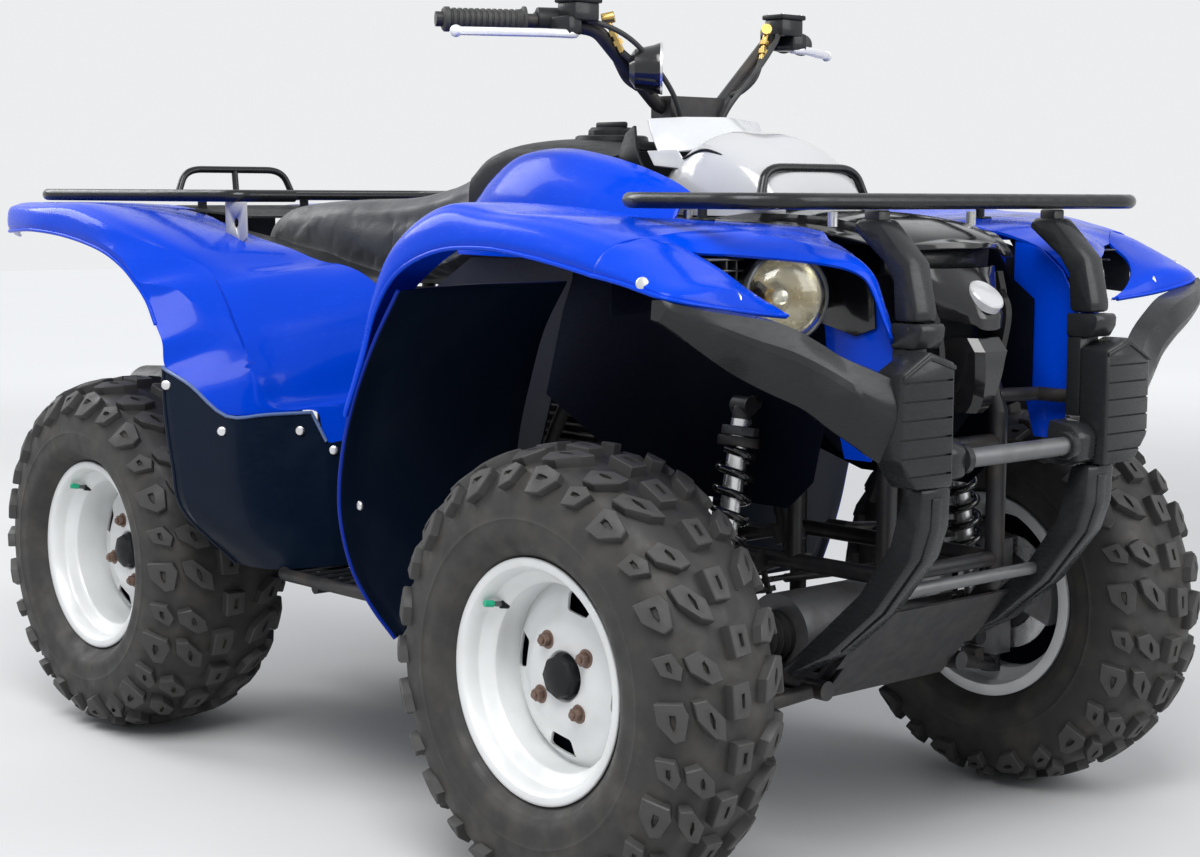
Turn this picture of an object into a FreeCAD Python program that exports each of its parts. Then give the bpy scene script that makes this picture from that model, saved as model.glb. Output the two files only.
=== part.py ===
"""Utility quad bike, full size, in millimetres.

Frame: +X forward, +Y to the rider's left, +Z up. The origin is on the ground under
the middle of the vehicle. Every left-hand piece is built once at +Y and mirrored.
"""
import FreeCAD, Part
import math
import os

V = FreeCAD.Vector

# Overall layout
FRONT_AXLE_X = 654.0
REAR_AXLE_X = -596.0
TYRE_R = 311.0
# Height of the axles over the datum that the body is drawn from; it rides on the tyres
AXLE_Z = 311.0
RUN_GAP = 0.3
SEAT_GAP = 0.3
PANEL_T = 4.0
TRIM = 6.0

# Tyres: tread blocks stand LUG_H above the carcass
LUG_H = 15.0
LUG_COUNT = 20
LUG_SHARE = 0.58
SHOULDER_DROP = 16.0
FRONT_TYRE_W = 203.0
REAR_TYRE_W = 254.0
BEAD_R = 152.0

# Wheel rims
RIM_R = 165.0
RIM_T = 4.0
WELL_R = 130.0
FRONT_RIM_HALF = 85.0
REAR_RIM_HALF = 103.0
FRONT_RIM_Y = 474.0
REAR_RIM_Y = 414.0
FRONT_DISC_Y = 505.0
REAR_DISC_Y = 442.0
VENT_COUNT = 4
LUG_PCD = 110.0
STUD_R = 9.0
CAP_R = 30.0
CAP_H = 18.0
HUB_R = 45.0
BRAKE_R = 95.0
BRAKE_T = 4.0

# Steering
KINGPIN_Y = 415.0
KNUCKLE_LOW_Z = 212.0
KNUCKLE_HIGH_Z = 400.0
KNUCKLE_FACE_Y = 440.0
STEER_ARM = 70.0
STEER_ARM_Z = 345.0
STEM_TOP = V(365, 0, 1065)
STEM_LOW = V(605, 0, 401)
STEM_R = 14.0
PITMAN_PIN_R = 5.0
TIE_ROD_R = 7.0
TIE_EYE_H = 8.0

# Frame
RAIL_R = 14.0
RAIL_Y = 120.0
ENGINE_HALF = 330.0
LOW_RAIL_Z = 262.0
MID_RAIL_Z = 430.0
ARM_TUBE_R = 11.0
BUSH_R = 14.0
REAR_CARRIER_Y = 360.0
SHOCK_R = 29.0

# Suspension mounts
EYE_R = 15.0
FRONT_SHOCK_X = 711.0
FRONT_SHOCK_LOW = V(FRONT_SHOCK_X, 296, 262)
FRONT_SHOCK_TOP = V(FRONT_SHOCK_X, 226, 662)
REAR_SHOCK_X = -540.0
REAR_SHOCK_LOW = V(REAR_SHOCK_X, 240, 262)
REAR_SHOCK_TOP = V(REAR_SHOCK_X, 200, 690)

# Tow hitch plate
HITCH_X = -838.0
HITCH_T = 8.0
HITCH_R = 9.6

# Seat and footboards
SEAT_LOW_Z = 792.0
TANK_HALF = 140.0
HOOD_HALF = 172.0
TAIL_HALF = 150.0
FOOT_Z = 322.0

# Racks
RACK_Z = 940.0
RACK_R = 11.0
RACK_BAR_R = 7.0
FRONT_RACK_HALF = 425.0
FRONT_RACK_REAR = 630.0
REAR_RACK_HALF = 440.0

# Handlebar
BAR_R = 11.0
GRIP_R = 16.5
GRIP_END_Y = 400.0
GRIP_LEN = 122.0

# Lamps
LAMP_X = 885.0
LAMP_Y = 314.0
LAMP_Z = 818.0
LAMP_R = 54.0
# Vent slots beside each lamp: width, height of the lower edge
LAMP_SLOTS = ((45, 852), (55, 862), (62, 872))


# Shape helpers
def box(x0, x1, y0, y1, z0, z1):
    return Part.makeBox(x1 - x0, y1 - y0, z1 - z0, V(x0, y0, z0))


def rod(a, b, r):
    return Part.makeCylinder(r, (b - a).Length, a, b - a)


def prism(points, plane, low, high):
    """Extrude a closed polygon given in plane 'xz', 'yz' or 'xy'."""
    if plane == "xz":
        pts = [V(a, low, b) for a, b in points]
        way = V(0, high - low, 0)
    elif plane == "yz":
        pts = [V(low, a, b) for a, b in points]
        way = V(high - low, 0, 0)
    else:
        pts = [V(a, b, low) for a, b in points]
        way = V(0, 0, high - low)
    return Part.Face(Part.makePolygon(pts + pts[:1])).extrude(way)


def mirrored(shape):
    return shape.mirror(V(0, 0, 0), V(0, 1, 0))


def pair(shape):
    return Part.makeCompound([shape, mirrored(shape)])


def fused(shapes):
    first = shapes[0]
    return first.multiFuse(shapes[1:]) if len(shapes) > 1 else first


def solids_of(shape):
    return Part.makeCompound(shape.Solids)


def tube(points, r, bend):
    """Round rod along straight runs joined by tangent arcs of radius bend."""
    edges = []
    start = points[0]
    for before, here, after in zip(points, points[1:], points[2:]):
        a = (before - here).normalize()
        b = (after - here).normalize()
        half = a.getAngle(b) / 2
        reach = bend / math.tan(half)
        limit = 0.48 * min((before - here).Length, (after - here).Length)
        reach = min(reach, limit)
        radius = reach * math.tan(half)
        p = here + a * reach
        q = here + b * reach
        middle = (a + b).normalize()
        centre = here + middle * (radius / math.sin(half))
        m = centre - middle * radius
        edges.append(Part.makeLine(start, p))
        edges.append(Part.Arc(p, m, q).toShape())
        start = q
    edges.append(Part.makeLine(start, points[-1]))
    path = Part.Wire(edges)
    ring = Part.Wire(Part.makeCircle(r, points[0], points[1] - points[0]))
    return path.makePipeShell([ring], True, False)


def half_space(point, normal):
    """Block that covers everything near a point on the side its normal shows."""
    block = Part.makeBox(300, 300, 150, V(-150, -150, 0))
    block.Placement = FreeCAD.Placement(point, FreeCAD.Rotation(V(0, 0, 1), normal))
    return block


def mitred(points, r, closed=False):
    """One straight bar per run of a path, mitred where two runs meet."""
    ways = [(b - a).normalize() for a, b in zip(points, points[1:])]
    bars = []
    for i, way in enumerate(ways):
        start, end = points[i], points[i + 1]
        first = not closed and i == 0
        last = not closed and i == len(ways) - 1
        bar = rod(start - way * (0 if first else 2 * r), end + way * (0 if last else 2 * r), r)
        if not first:
            bar = bar.cut(half_space(start, -(ways[i - 1] + way)))
        if not last:
            bar = bar.cut(half_space(end, way + ways[(i + 1) % len(ways)]))
        bars.append(bar)
    return bars


def coped(bars, others):
    """Bars whose ends are scooped to sit on other bars and, in turn, on each other."""
    done = list(others)
    out = []
    for bar in bars:
        near = [o for o in done if o.BoundBox.intersect(bar.BoundBox)]
        shape = bar.cut(Part.makeCompound(near)) if near else bar
        kept = [s for s in shape.Solids if s.Volume > 40]
        out += kept
        done += kept
    return out


def turned(profile, x, z=AXLE_Z):
    """Revolve a closed (y, r) profile about the wheel axis at x, z."""
    pts = [V(x, y, z + r) for y, r in profile]
    face = Part.Face(Part.makePolygon(pts + pts[:1]))
    return face.revolve(V(x, 0, z), V(0, 1, 0), 360)


def offset_in(line, t):
    """Offset an open polyline of (r, y) to its inner side by t, mitred."""
    normals = []
    for (r0, y0), (r1, y1) in zip(line, line[1:]):
        size = math.hypot(r1 - r0, y1 - y0)
        normals.append(((y1 - y0) / size, -(r1 - r0) / size))
    out = []
    for i, (r, y) in enumerate(line):
        n0 = normals[max(i - 1, 0)]
        n1 = normals[min(i, len(normals) - 1)]
        scale = t / (1 + n0[0] * n1[0] + n0[1] * n1[1])
        out.append((r + (n0[0] + n1[0]) * scale, y + (n0[1] + n1[1]) * scale))
    return out


def fan_shell(rows, t):
    """Thin shell through planar sections fanned round their feet.

    Each row is (foot x, foot z, angle in degrees, outer polyline of (radius, y)
    from the outer lip over the crown to the inner edge).
    """
    wires = []
    for cx, cz, angle, line in rows:
        c = math.cos(math.radians(angle))
        s = math.sin(math.radians(angle))
        ring = line + offset_in(line, t)[::-1]
        pts = [V(cx + r * c, y, cz + r * s) for r, y in ring]
        wires.append(Part.makePolygon(pts + pts[:1]))
    return Part.makeLoft(wires, True, False)


def hull_loft(rows):
    """Loft along x through mirrored sections.

    Each row is (x, half outline of (y, z) from the top centre to the bottom).
    """
    wires = []
    for x, half in rows:
        ring = half + [(-y, z) for y, z in reversed(half) if y > 0]
        pts = [V(x, y, z) for y, z in ring]
        wires.append(Part.makePolygon(pts + pts[:1]))
    return Part.makeLoft(wires, True, False)


# Wheels
def toothed_ring(x, y0, y1, base, phase):
    """Band of tread blocks: a gear-like outline extruded across the tread."""
    pts = []
    step = 360.0 / LUG_COUNT
    for i in range(LUG_COUNT):
        start = (i + phase) * step
        for angle, r in ((0, base), (0, TYRE_R), (LUG_SHARE, TYRE_R), (LUG_SHARE, base)):
            a = math.radians(start + angle * step)
            pts.append(V(x + r * math.cos(a), y0, AXLE_Z + r * math.sin(a)))
    face = Part.Face(Part.makePolygon(pts + pts[:1]))
    return face.extrude(V(0, y1 - y0, 0))


def tyre(x, y, width, rim_half):
    half = width / 2
    crown = TYRE_R - LUG_H
    edge = crown - SHOULDER_DROP
    widest = BEAD_R + (crown - BEAD_R) * 5 / 12
    bead = rim_half - 8
    outer = [(bead, BEAD_R), (bead, RIM_R + 3), (half, widest), (half - 4, edge - 28),
             (half - 16, edge), (half - 60, crown - 3)]
    inner = [(half - 34, edge - 22), (half - 14, widest), (bead - 14, BEAD_R)]
    ring = outer + [(-a, r) for a, r in reversed(outer)]
    ring += [(-a, r) for a, r in reversed(inner)] + inner
    carcass = turned([(y + a, r) for a, r in ring], x)
    envelope = turned([(y - half + 2, 200), (y - half + 2, TYRE_R - SHOULDER_DROP - 6),
                       (y - half + 34, TYRE_R), (y + half - 34, TYRE_R),
                       (y + half - 2, TYRE_R - SHOULDER_DROP - 6), (y + half - 2, 200)], x)
    base = crown
    middle = 0.21 * width
    bands = []
    for side, phase in ((-1, 0.0), (1, 0.5)):
        ends = sorted((y + side * middle, y + side * (half - 2)))
        bands.append(toothed_ring(x, ends[0], ends[1], edge - 14, phase))
        ends = sorted((y + side * 4, y + side * (middle - 6)))
        bands.append(toothed_ring(x, ends[0], ends[1], base - 4, phase + 0.5))
    lugs = [band.common(envelope) for band in bands]
    return carcass.multiFuse(lugs)


def studs(x, y):
    """Centres of the wheel studs on a plane at y."""
    turn = [math.radians(90 * i) for i in range(4)]
    return [V(x + LUG_PCD / 2 * math.cos(a), y, AXLE_Z + LUG_PCD / 2 * math.sin(a))
            for a in turn]


def rim(x, y, half, disc_y):
    w = half
    outer = [(w, RIM_R), (w - 7, RIM_R), (w - 7, BEAD_R - 0.3), (w - 32, BEAD_R - 2),
             (w - 44, WELL_R), (-w + 50, WELL_R), (-w + 34, BEAD_R - 2),
             (-w + 7, BEAD_R - 0.3), (-w + 7, RIM_R), (-w, RIM_R)]
    inner = [(-w, BEAD_R - 4), (-w + 34, BEAD_R - 2 - RIM_T), (-w + 50, WELL_R - RIM_T),
             (w - 44, WELL_R - RIM_T), (w - 32, BEAD_R - 2 - RIM_T), (w, BEAD_R - 4)]
    barrel = turned([(y + a, r) for a, r in outer + inner], x)
    d = disc_y
    hole = CAP_R + RUN_GAP
    disc = turned([(d, hole), (d, 70), (d - 9, 84), (d - 20, 116), (d - 26, WELL_R - 2),
                   (d - 30, WELL_R - 2), (d - 24, 114), (d - 13, 82), (d - 4, 68),
                   (d - 4, hole)], x)
    wheel = barrel.fuse(disc)
    cutters = [Part.makeCylinder(STUD_R + RUN_GAP, 30, c, V(0, 1, 0)) for c in studs(x, d - 15)]
    for i in range(VENT_COUNT):
        angle = 90.0 * i + 45
        vent = prism([(x - 20, AXLE_Z + 87), (x + 20, AXLE_Z + 87), (x + 26, AXLE_Z + 110),
                      (x - 26, AXLE_Z + 110)], "xz", d - 40, d + 10)
        vent.rotate(V(x, 0, AXLE_Z), V(0, 1, 0), angle)
        cutters.append(vent)
    return wheel.cut(Part.makeCompound(cutters))


def hub(x, face_y, disc_y, brake_y):
    parts = [Part.makeCylinder(HUB_R, disc_y - 4 - face_y, V(x, face_y, AXLE_Z), V(0, 1, 0)),
             Part.makeCylinder(BRAKE_R, BRAKE_T, V(x, brake_y, AXLE_Z), V(0, 1, 0)),
             turned([(disc_y - 6, 0), (disc_y - 6, CAP_R), (disc_y + CAP_H - 6, CAP_R - 2),
                     (disc_y + CAP_H, CAP_R - 12), (disc_y + CAP_H, 0)], x)]
    flange = Part.makeCylinder(67, 8, V(x, disc_y - 12, AXLE_Z), V(0, 1, 0))
    parts.append(flange)
    parts += [Part.makeCylinder(STUD_R, 17, c, V(0, 1, 0)) for c in studs(x, disc_y - 5)]
    return fused(parts)


# Steering
def along_stem(distance, side=0.0, forward=0.0):
    """Point at a distance up the steering axis, offset across and ahead of it."""
    a = (STEM_TOP - STEM_LOW).normalize()
    ahead = V(a.z, 0, -a.x)
    return STEM_LOW + a * distance + ahead * forward + V(0, side, 0)


STEM_LEN = (STEM_TOP - STEM_LOW).Length
STEM_AXIS = (STEM_TOP - STEM_LOW).normalize()


def knuckle():
    x, y = FRONT_AXLE_X, KINGPIN_Y
    body = box(x - 20, x + 20, y - 14, KNUCKLE_FACE_Y, KNUCKLE_LOW_Z + RUN_GAP,
               KNUCKLE_HIGH_Z - RUN_GAP)
    drum = Part.makeCylinder(40, KNUCKLE_FACE_Y - y + 18, V(x, y - 18, AXLE_Z), V(0, 1, 0))
    arm = box(x - STEER_ARM, x - 10, y - 10, y + 10, STEER_ARM_Z - 6, STEER_ARM_Z + 6)
    boss = Part.makeCylinder(13, 12, V(x - STEER_ARM, y, STEER_ARM_Z - 6))
    pin = Part.makeCylinder(6, 30, V(x - STEER_ARM, y, STEER_ARM_Z - 6))
    bracket = box(x + 10, x + 62, y - 4, y + 10, AXLE_Z - 16, AXLE_Z + 16)
    brake_y = KNUCKLE_FACE_Y + 6
    profile = [(y, 60), (y, 116), (brake_y + 22, 116), (brake_y + 22, 62),
               (brake_y + BRAKE_T + 5, 62), (brake_y + BRAKE_T + 5, BRAKE_R + 6),
               (brake_y - 5, BRAKE_R + 6), (brake_y - 5, 60)]
    pts = [V(x, py, AXLE_Z + r) for py, r in profile]
    caliper = Part.Face(Part.makePolygon(pts + pts[:1]))
    caliper.rotate(V(x, 0, AXLE_Z), V(0, 1, 0), 70)
    caliper = caliper.revolve(V(x, 0, AXLE_Z), V(0, 1, 0), 40)
    return fused([body, drum, arm, boss, pin, bracket, caliper])


def tie_rod(reach):
    """Left tie rod, its inner eye on the pitman pin at a reach along the stem."""
    outer = V(FRONT_AXLE_X - STEER_ARM, KINGPIN_Y, STEER_ARM_Z + 14)
    inner = along_stem(reach, 0, -STEER_ARM)
    way = (inner - outer).normalize()
    bar = rod(outer + way * 9, inner - way * 10, TIE_ROD_R)
    bar = bar.cut(Part.makeCylinder(40, 30, inner + STEM_AXIS * TIE_EYE_H / 2, STEM_AXIS))
    bar = bar.cut(Part.makeCylinder(40, 30, inner - STEM_AXIS * (TIE_EYE_H / 2 + 30), STEM_AXIS))
    eye = Part.makeCylinder(13, 12, outer - V(0, 0, 6))
    eye2 = Part.makeCylinder(12, TIE_EYE_H, inner - STEM_AXIS * TIE_EYE_H / 2, STEM_AXIS)
    whole = fused([bar, eye, eye2])
    whole = whole.cut(Part.makeCylinder(6 + RUN_GAP / 4, 40, outer - V(0, 0, 20)))
    return whole.cut(rod(inner - STEM_AXIS * 30, inner + STEM_AXIS * 30, PITMAN_PIN_R + 1.2))


def handlebar():
    stem = rod(STEM_LOW, STEM_TOP, STEM_R)
    plate_pts = []
    for side, ahead in ((18, 18), (18, -30), (14, -84), (-14, -84), (-18, -30), (-18, 18)):
        plate_pts.append(along_stem(0, side, ahead))
    plate = Part.Face(Part.makePolygon(plate_pts + plate_pts[:1])).extrude(STEM_AXIS * 8)
    pin = rod(along_stem(-38, 0, -STEER_ARM), along_stem(4, 0, -STEER_ARM), PITMAN_PIN_R)
    top = STEM_TOP + V(0, 0, 14)
    clamp = box(top.x - 22, top.x + 22, -58, 58, top.z - 16, top.z + 17)
    half = bar_half()
    return fused([stem, plate, clamp, half, mirrored(half), pin])


def bar_half():
    z = STEM_TOP.z + 14
    bends = [V(STEM_TOP.x, 0, z), V(STEM_TOP.x, 62, z), V(358, 185, 1190), V(322, 245, 1200),
             V(241, GRIP_END_Y - 4, 1200)]
    return tube(bends, BAR_R, 40)


def bar_line(y):
    """Centre of the bar's grip run at a given side distance."""
    a, b = V(322, 245, 1200), V(241, GRIP_END_Y - 4, 1200)
    return a + (b - a) * ((y - a.y) / (b.y - a.y))


def grips():
    a, b = bar_line(GRIP_END_Y - GRIP_LEN), bar_line(GRIP_END_Y)
    way = (b - a).normalize()
    grip = rod(a, b, GRIP_R)
    flange = rod(a, a + way * 5, GRIP_R + 5)
    core = rod(a - way * 10, bar_line(GRIP_END_Y - 4), BAR_R)
    return pair(grip.fuse(flange).cut(core))


def levers():
    path = [V(365, 238, 1196), V(352, 285, 1190), V(318, 345, 1186), V(292, 398, 1188)]
    blade = tube(path, 5, 60)
    tip = Part.makeSphere(8, V(292, 398, 1188))
    return pair(fused([blade, tip]))


def controls():
    a, b = bar_line(222), bar_line(270)
    body = rod(a, b, 21)
    perch = box(332, 372, 228, 254, 1186, 1206)
    tank = box(338, 376, 196, 246, 1200, 1234)
    lever = Part.makeCompound(levers().Solids[:1])
    return pair(fused([body, perch, tank]).cut(bar_half()).cut(lever))


# Chassis
def frame():
    """Frame of separate straight tubes, mitred along the rails and coped elsewhere."""
    y = RAIL_Y
    rail = [V(-790, y, 300), V(-700, y, LOW_RAIL_Z), V(770, y, LOW_RAIL_Z), V(880, y, 400),
            V(880, y, 640), V(830, y, 800), V(500, y, 835), V(300, y, 790),
            V(-240, y, SEAT_LOW_Z - RAIL_R - 6), V(-420, y, 790), V(-900, y, 850)]
    rails = mitred(rail, RAIL_R)
    posts = [rod(V(x, y, LOW_RAIL_Z), V(x, y, top), RAIL_R - 1) for x, top in ((500, 830), (-450, 790))]
    posts += mitred([V(-700, y, LOW_RAIL_Z), V(-745, y, MID_RAIL_Z), V(-745, y, 828)], RAIL_R - 1)
    posts += [rod(V(x, y, MID_RAIL_Z), V(end, y, MID_RAIL_Z), RAIL_R - 2)
              for x, end in ((500, 880), (-450, -745))]
    posts += [rod(V(x, y, MID_RAIL_Z), V(x, y, top), RAIL_R - 3)
              for x, top in ((FRONT_SHOCK_X, 812), (REAR_SHOCK_X, 803))]
    posts += [rod(V(top.x, y, top.z), V(top.x, top.y - EYE_R - SEAT_GAP, top.z), 10)
              for top in (FRONT_SHOCK_TOP, REAR_SHOCK_TOP)]
    strut_z = FOOT_Z - 9 - SEAT_GAP
    for x in (-70.0, 150.0):
        posts += mitred([V(x, y, LOW_RAIL_Z), V(x, 208, LOW_RAIL_Z), V(x, 255, strut_z),
                         V(x, 405, strut_z)], 9)
    posts += mitred([V(878, y, 665), V(900, 186, 665), V(959.7, 186, 665)], 10)
    posts.append(box(-245, -235, y - 9, y + 9, SEAT_LOW_Z - 15, SEAT_LOW_Z - 0.5))
    side = rails + coped(posts, rails)
    cross = [rod(V(x, -y, z), V(x, y, z), RAIL_R - 3) for x, z in (
        (770, LOW_RAIL_Z), (-700, LOW_RAIL_Z), (500, LOW_RAIL_Z), (-450, LOW_RAIL_Z), (880, 600),
        (500, 835), (-745, 640), (-900, 850), (880, MID_RAIL_Z), (500, MID_RAIL_Z),
        (FRONT_AXLE_X + 61.7, 275.4), (REAR_AXLE_X - 61.7, 275.4))]
    both = side + [mirrored(s) for s in side]
    whole = both + coped(cross, both)
    for reach, x0, x1, z0, z1 in ((45, 500, 578, 436, 446), (455, 462, 496, 828, 838)):
        holder = box(x0, x1, -16, 16, z0, z1)
        ring = rod(along_stem(reach - 14), along_stem(reach + 14), STEM_R + 9)
        holder = holder.fuse(ring).cut(rod(along_stem(20), along_stem(STEM_LEN - 60), STEM_R + 0.1))
        whole += coped([holder], whole)
    return Part.makeCompound(whole)


def hitch():
    """Tow plate with its pin hole, on a foot behind the rear cross tube."""
    plate = box(-860, -690, -36, 36, 290, 290 + HITCH_T)
    foot = box(-720, -690, -36, 36, 262, 296)
    hole = Part.makeCylinder(HITCH_R, 60, V(HITCH_X, 0, 260))
    return plate.fuse(foot).cut(hole).cut(Part.makeCompound(frame().Solids))


def engine():
    block = box(-ENGINE_HALF, ENGINE_HALF, -100, 100, 285, 560)
    cases = prism([(-300, 300), (60, 290), (120, 350), (120, 500), (20, 560), (-260, 560),
                   (-320, 480)], "xz", -178, 178)
    barrel = prism([(60, 540), (230, 540), (270, 700), (110, 720)], "xz", -80, 80)
    fins = []
    for i in range(5):
        z = 575 + i * 24
        fins.append(prism([(50 + i * 8, z), (255 + i * 8, z), (255 + i * 8, z + 6),
                           (50 + i * 8, z + 6)], "xz", -95, 95))
    cover = Part.makeCylinder(105, 12, V(-190, 178, 430), V(0, 1, 0))
    drum = Part.makeCylinder(70, 12, V(20, 178, 420), V(0, 1, 0))
    return fused([block, cases, barrel] + fins + [cover, drum, mirrored(cover), mirrored(drum)])


def skid_plate():
    top = LOW_RAIL_Z - RAIL_R - SEAT_GAP
    main = prism([(-560, top - 4), (778.8, top - 4), (887.1, 379.6), (884, 382), (777, top),
                  (-560, top)], "xz", -133, 133)
    wide = prism([(820, 295.4), (887.1, 379.6), (884, 382), (816.8, 297.9)], "xz", -149.7, 149.7)
    return main.fuse(wide)


def arms(x, low_y, low_z, high_y, high_z, legs, eye):
    """Lower and upper wishbones of one side as legs, bosses and shock eye block."""
    pivot_y = RAIL_Y + RAIL_R + SEAT_GAP + BUSH_R
    out = []
    for z, pivot_z, base, ends in ((low_z - 19, LOW_RAIL_Z, low_z - 29, legs[:2]),
                                   (high_z + 19, MID_RAIL_Z, high_z, legs[2:])):
        done = [Part.makeCylinder(16, 29, V(x, low_y, base))]
        for dx in ends:
            bush = Part.makeCylinder(BUSH_R, 40, V(x + dx - 20, pivot_y, pivot_z), V(1, 0, 0))
            leg = rod(V(x, low_y, z), V(x + dx, pivot_y, pivot_z), ARM_TUBE_R).fuse(bush)
            done += coped([leg], done)
        out += done
    block = box(eye.x - 14, eye.x + 14, eye.y - 13, eye.y + 9, eye.z - 36,
                eye.z - EYE_R - SEAT_GAP)
    return out + coped([block], out)


def shock(low, high, lug):
    """Coil-over damper from its lower eye to its upper eye."""
    way = (high - low).normalize()
    length = (high - low).Length
    profile = [(0, 0), (0, 13), (40, 13)]
    coils = 8
    start, end = 45.0, length - 55
    step = (end - start) / coils
    profile.append((start - 4, SHOCK_R))
    for i in range(coils):
        z = start + i * step
        profile += [(z, SHOCK_R), (z + step * 0.45, SHOCK_R), (z + step * 0.6, SHOCK_R - 9),
                    (z + step * 0.85, SHOCK_R - 9)]
    profile += [(end, SHOCK_R + 2), (end + 8, SHOCK_R + 2), (end + 8, 15), (length, 15),
                (length, 0)]
    pts = [V(r, 0, z) for z, r in profile]
    body = Part.Face(Part.makePolygon(pts + pts[:1])).revolve(V(0, 0, 0), V(0, 0, 1), 360)
    body.Placement = FreeCAD.Placement(low, FreeCAD.Rotation(V(0, 0, 1), way))
    eye = Part.makeCylinder(EYE_R, lug, low - V(lug / 2, 0, 0), V(1, 0, 0))
    eye2 = Part.makeCylinder(EYE_R, lug, high - V(lug / 2, 0, 0), V(1, 0, 0))
    return fused([body, eye, eye2])


def final_drive(x, engine_x):
    """Axle gear case with its short nose and the shaft that comes from the engine."""
    way = V(-1 if x > 0 else 1, 0, 0)
    case = Part.makeCylinder(60, 180, V(x, -90, AXLE_Z), V(0, 1, 0))
    nose = Part.makeCylinder(34, 66, V(x, 0, AXLE_Z), way)
    shaft = rod(V(x, 0, AXLE_Z), V(engine_x, 0, AXLE_Z), 14)
    return fused([case, nose, shaft])


def half_shaft(x, end_y):
    bar = rod(V(x, 90, AXLE_Z), V(x, end_y, AXLE_Z), 13)
    boot = turned([(90, 0), (90, 34), (112, 34), (150, 17), (150, 0)], x)
    return fused([bar, boot])


# Body panels
REAR_TAIL = [
    # x, then z and y: lip, fold, crest, crown, middle, inner edge
    (-1030, 862, 415, 880, 411, 905, 403, 916, 370, 917, 280, 915, TAIL_HALF - TRIM),
    (-930, 868, 478, 886, 479, 911, 468, 923, 425, 923, 300, 920, TAIL_HALF - TRIM),
]
REAR_FENDER = [
    # angle, then radius and y: lip, fold, crest, crown, middle, inner edge
    (110, 600, 552, 616, 553, 643, 543, 651, 490, 649, 330, 640, 175),
    (98, 574, 575, 588, 576, 611, 565, 619, 518, 611, 350, 597, 220),
    (86, 562, 575, 577, 576, 605, 565, 614, 513, 601, 370, 581, 260),
    (74, 563, 575, 576, 576, 600, 561, 609, 508, 595, 380, 579, 265),
    (66, 563, 575, 575, 575, 599, 519, 603, 480, 594, 380, 590, 262),
    (57.6, 556, 574, 577, 561, 596, 461, 589, 430, 598, 340, 612, 235),
    (52, 538, 574, 574, 513, 585, 461, 581, 420, 608, 325, 640, 220),
    (45.4, 503, 574, 559, 474, 566, 458, 572, 405, 611, 308, 652, 206),
    (38, 466, 573, 530, 488, 546, 455, 556, 398, 588, 298, 632, 198),
    (27, 446, 568, 470, 552, 490, 505, 512, 450, 545, 330, 580, 192),
    (16, 436, 540, 455, 525, 468, 490, 482, 440, 505, 320, 530, 192),
    (4, 440, 468, 452, 455, 457, 430, 463, 395, 479, 290, 495, 192),
]
FRONT_FENDER = [
    (131, 536, 575, 548, 570, 556, 562, 560, 545),
    (124, 572, 575, 590, 570, 606, 555, 612, 500),
    (117, 592, 575, 622, 568, 648, 540, 655, 400),
    (108, 588, 575, 630, 564, 656, 525, 640, 260),
    (98, 571, 575, 608, 562, 618, 510, 601, HOOD_HALF - TRIM),
    (88, 556, 575, 594, 560, 608, 505, 596, HOOD_HALF - TRIM),
    (76, 553, 575, 585, 560, 603, 470, 608, HOOD_HALF - TRIM),
]
LOWER_BLADE = [
    (76, 553, 575, 585, 560, 603, 470, 603, 455),
    (70, 560, 572, 582, 556, 598, 440, 598, 425),
    (64, 566, 560, 578, 545, 584, 390, 584, 375),
]
UPPER_BROW = [
    (76, 603, 455, 607, 400, 608, 300, 608, HOOD_HALF - TRIM),
    (70, 608, 430, 614, 380, 617, 290, 617, 195),
    (64, 612, 390, 619, 360, 622, 290, 622, 215),
]
FRONT_LINER = [
    # angle, outer r, outer y, inner r, inner y
    (122, 560, 566, 566, 255),
    (136, 510, 566, 516, 240),
    (148, 482, 562, 488, 230),
    (161, 455, 552, 462, 222),
    (173, 438, 520, 446, 215),
    (182, 424, 470, 430, 215),
]


def shell_from(table, x, t, upright=()):
    """Shell from table rows fanned round the axle at x, after any upright rows.

    An upright row stands at its own x, and its radii are heights.
    """
    rows = [(row[0], 0.0, 90.0, list(zip(row[1::2], row[2::2]))) for row in upright]
    rows += [(x, AXLE_Z, row[0], list(zip(row[1::2], row[2::2]))) for row in table]
    return fan_shell(rows, t)


def guard_cutter(gap):
    """Everything below the edge where the leg guard takes over from the fender."""
    line = [(640, 705 - gap), (575, 668 - gap), (418, 585 - gap), (262, 575 - gap),
            (240, 545 - gap), (150, 545 - gap), (150, 200), (640, 200)]
    return prism(line, "yz", -330, 60)


def rear_shell():
    shell = shell_from(REAR_FENDER, REAR_AXLE_X, PANEL_T, REAR_TAIL)
    return shell.cut(box(-1050, -800, 0, TAIL_HALF, 850, 980))


def front_fenders():
    parts = [shell_from(t, FRONT_AXLE_X, PANEL_T)
             for t in (FRONT_FENDER, LOWER_BLADE, UPPER_BROW)]
    parts = [p.cut(box(450, 880, 0, HOOD_HALF + SEAT_GAP, 850, 980)) for p in parts]
    blade = prism([(905, 867), (925, 868), (946, 760), (944, 700), (925, 700), (925, 760)],
                  "xz", 215, 219)
    return parts, blade


def tank_panel():
    rows = []
    for x, top, out in ((60, 935, 205), (120, 978, 222), (200, 1002, 232), (300, 1004, 236),
                        (400, 984, 230), (500, 940, 215)):
        ring = [(TANK_HALF + SEAT_GAP, top), (190, top - 8), (out, top - 60), (out + 4, 850),
                (out, 850), (out - 4, top - 60), (188, top - 13),
                (TANK_HALF + SEAT_GAP, top - 5)]
        pts = [V(x, y, z) for y, z in ring]
        rows.append(Part.makePolygon(pts + pts[:1]))
    return Part.makeLoft(rows, True, False)


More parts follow.
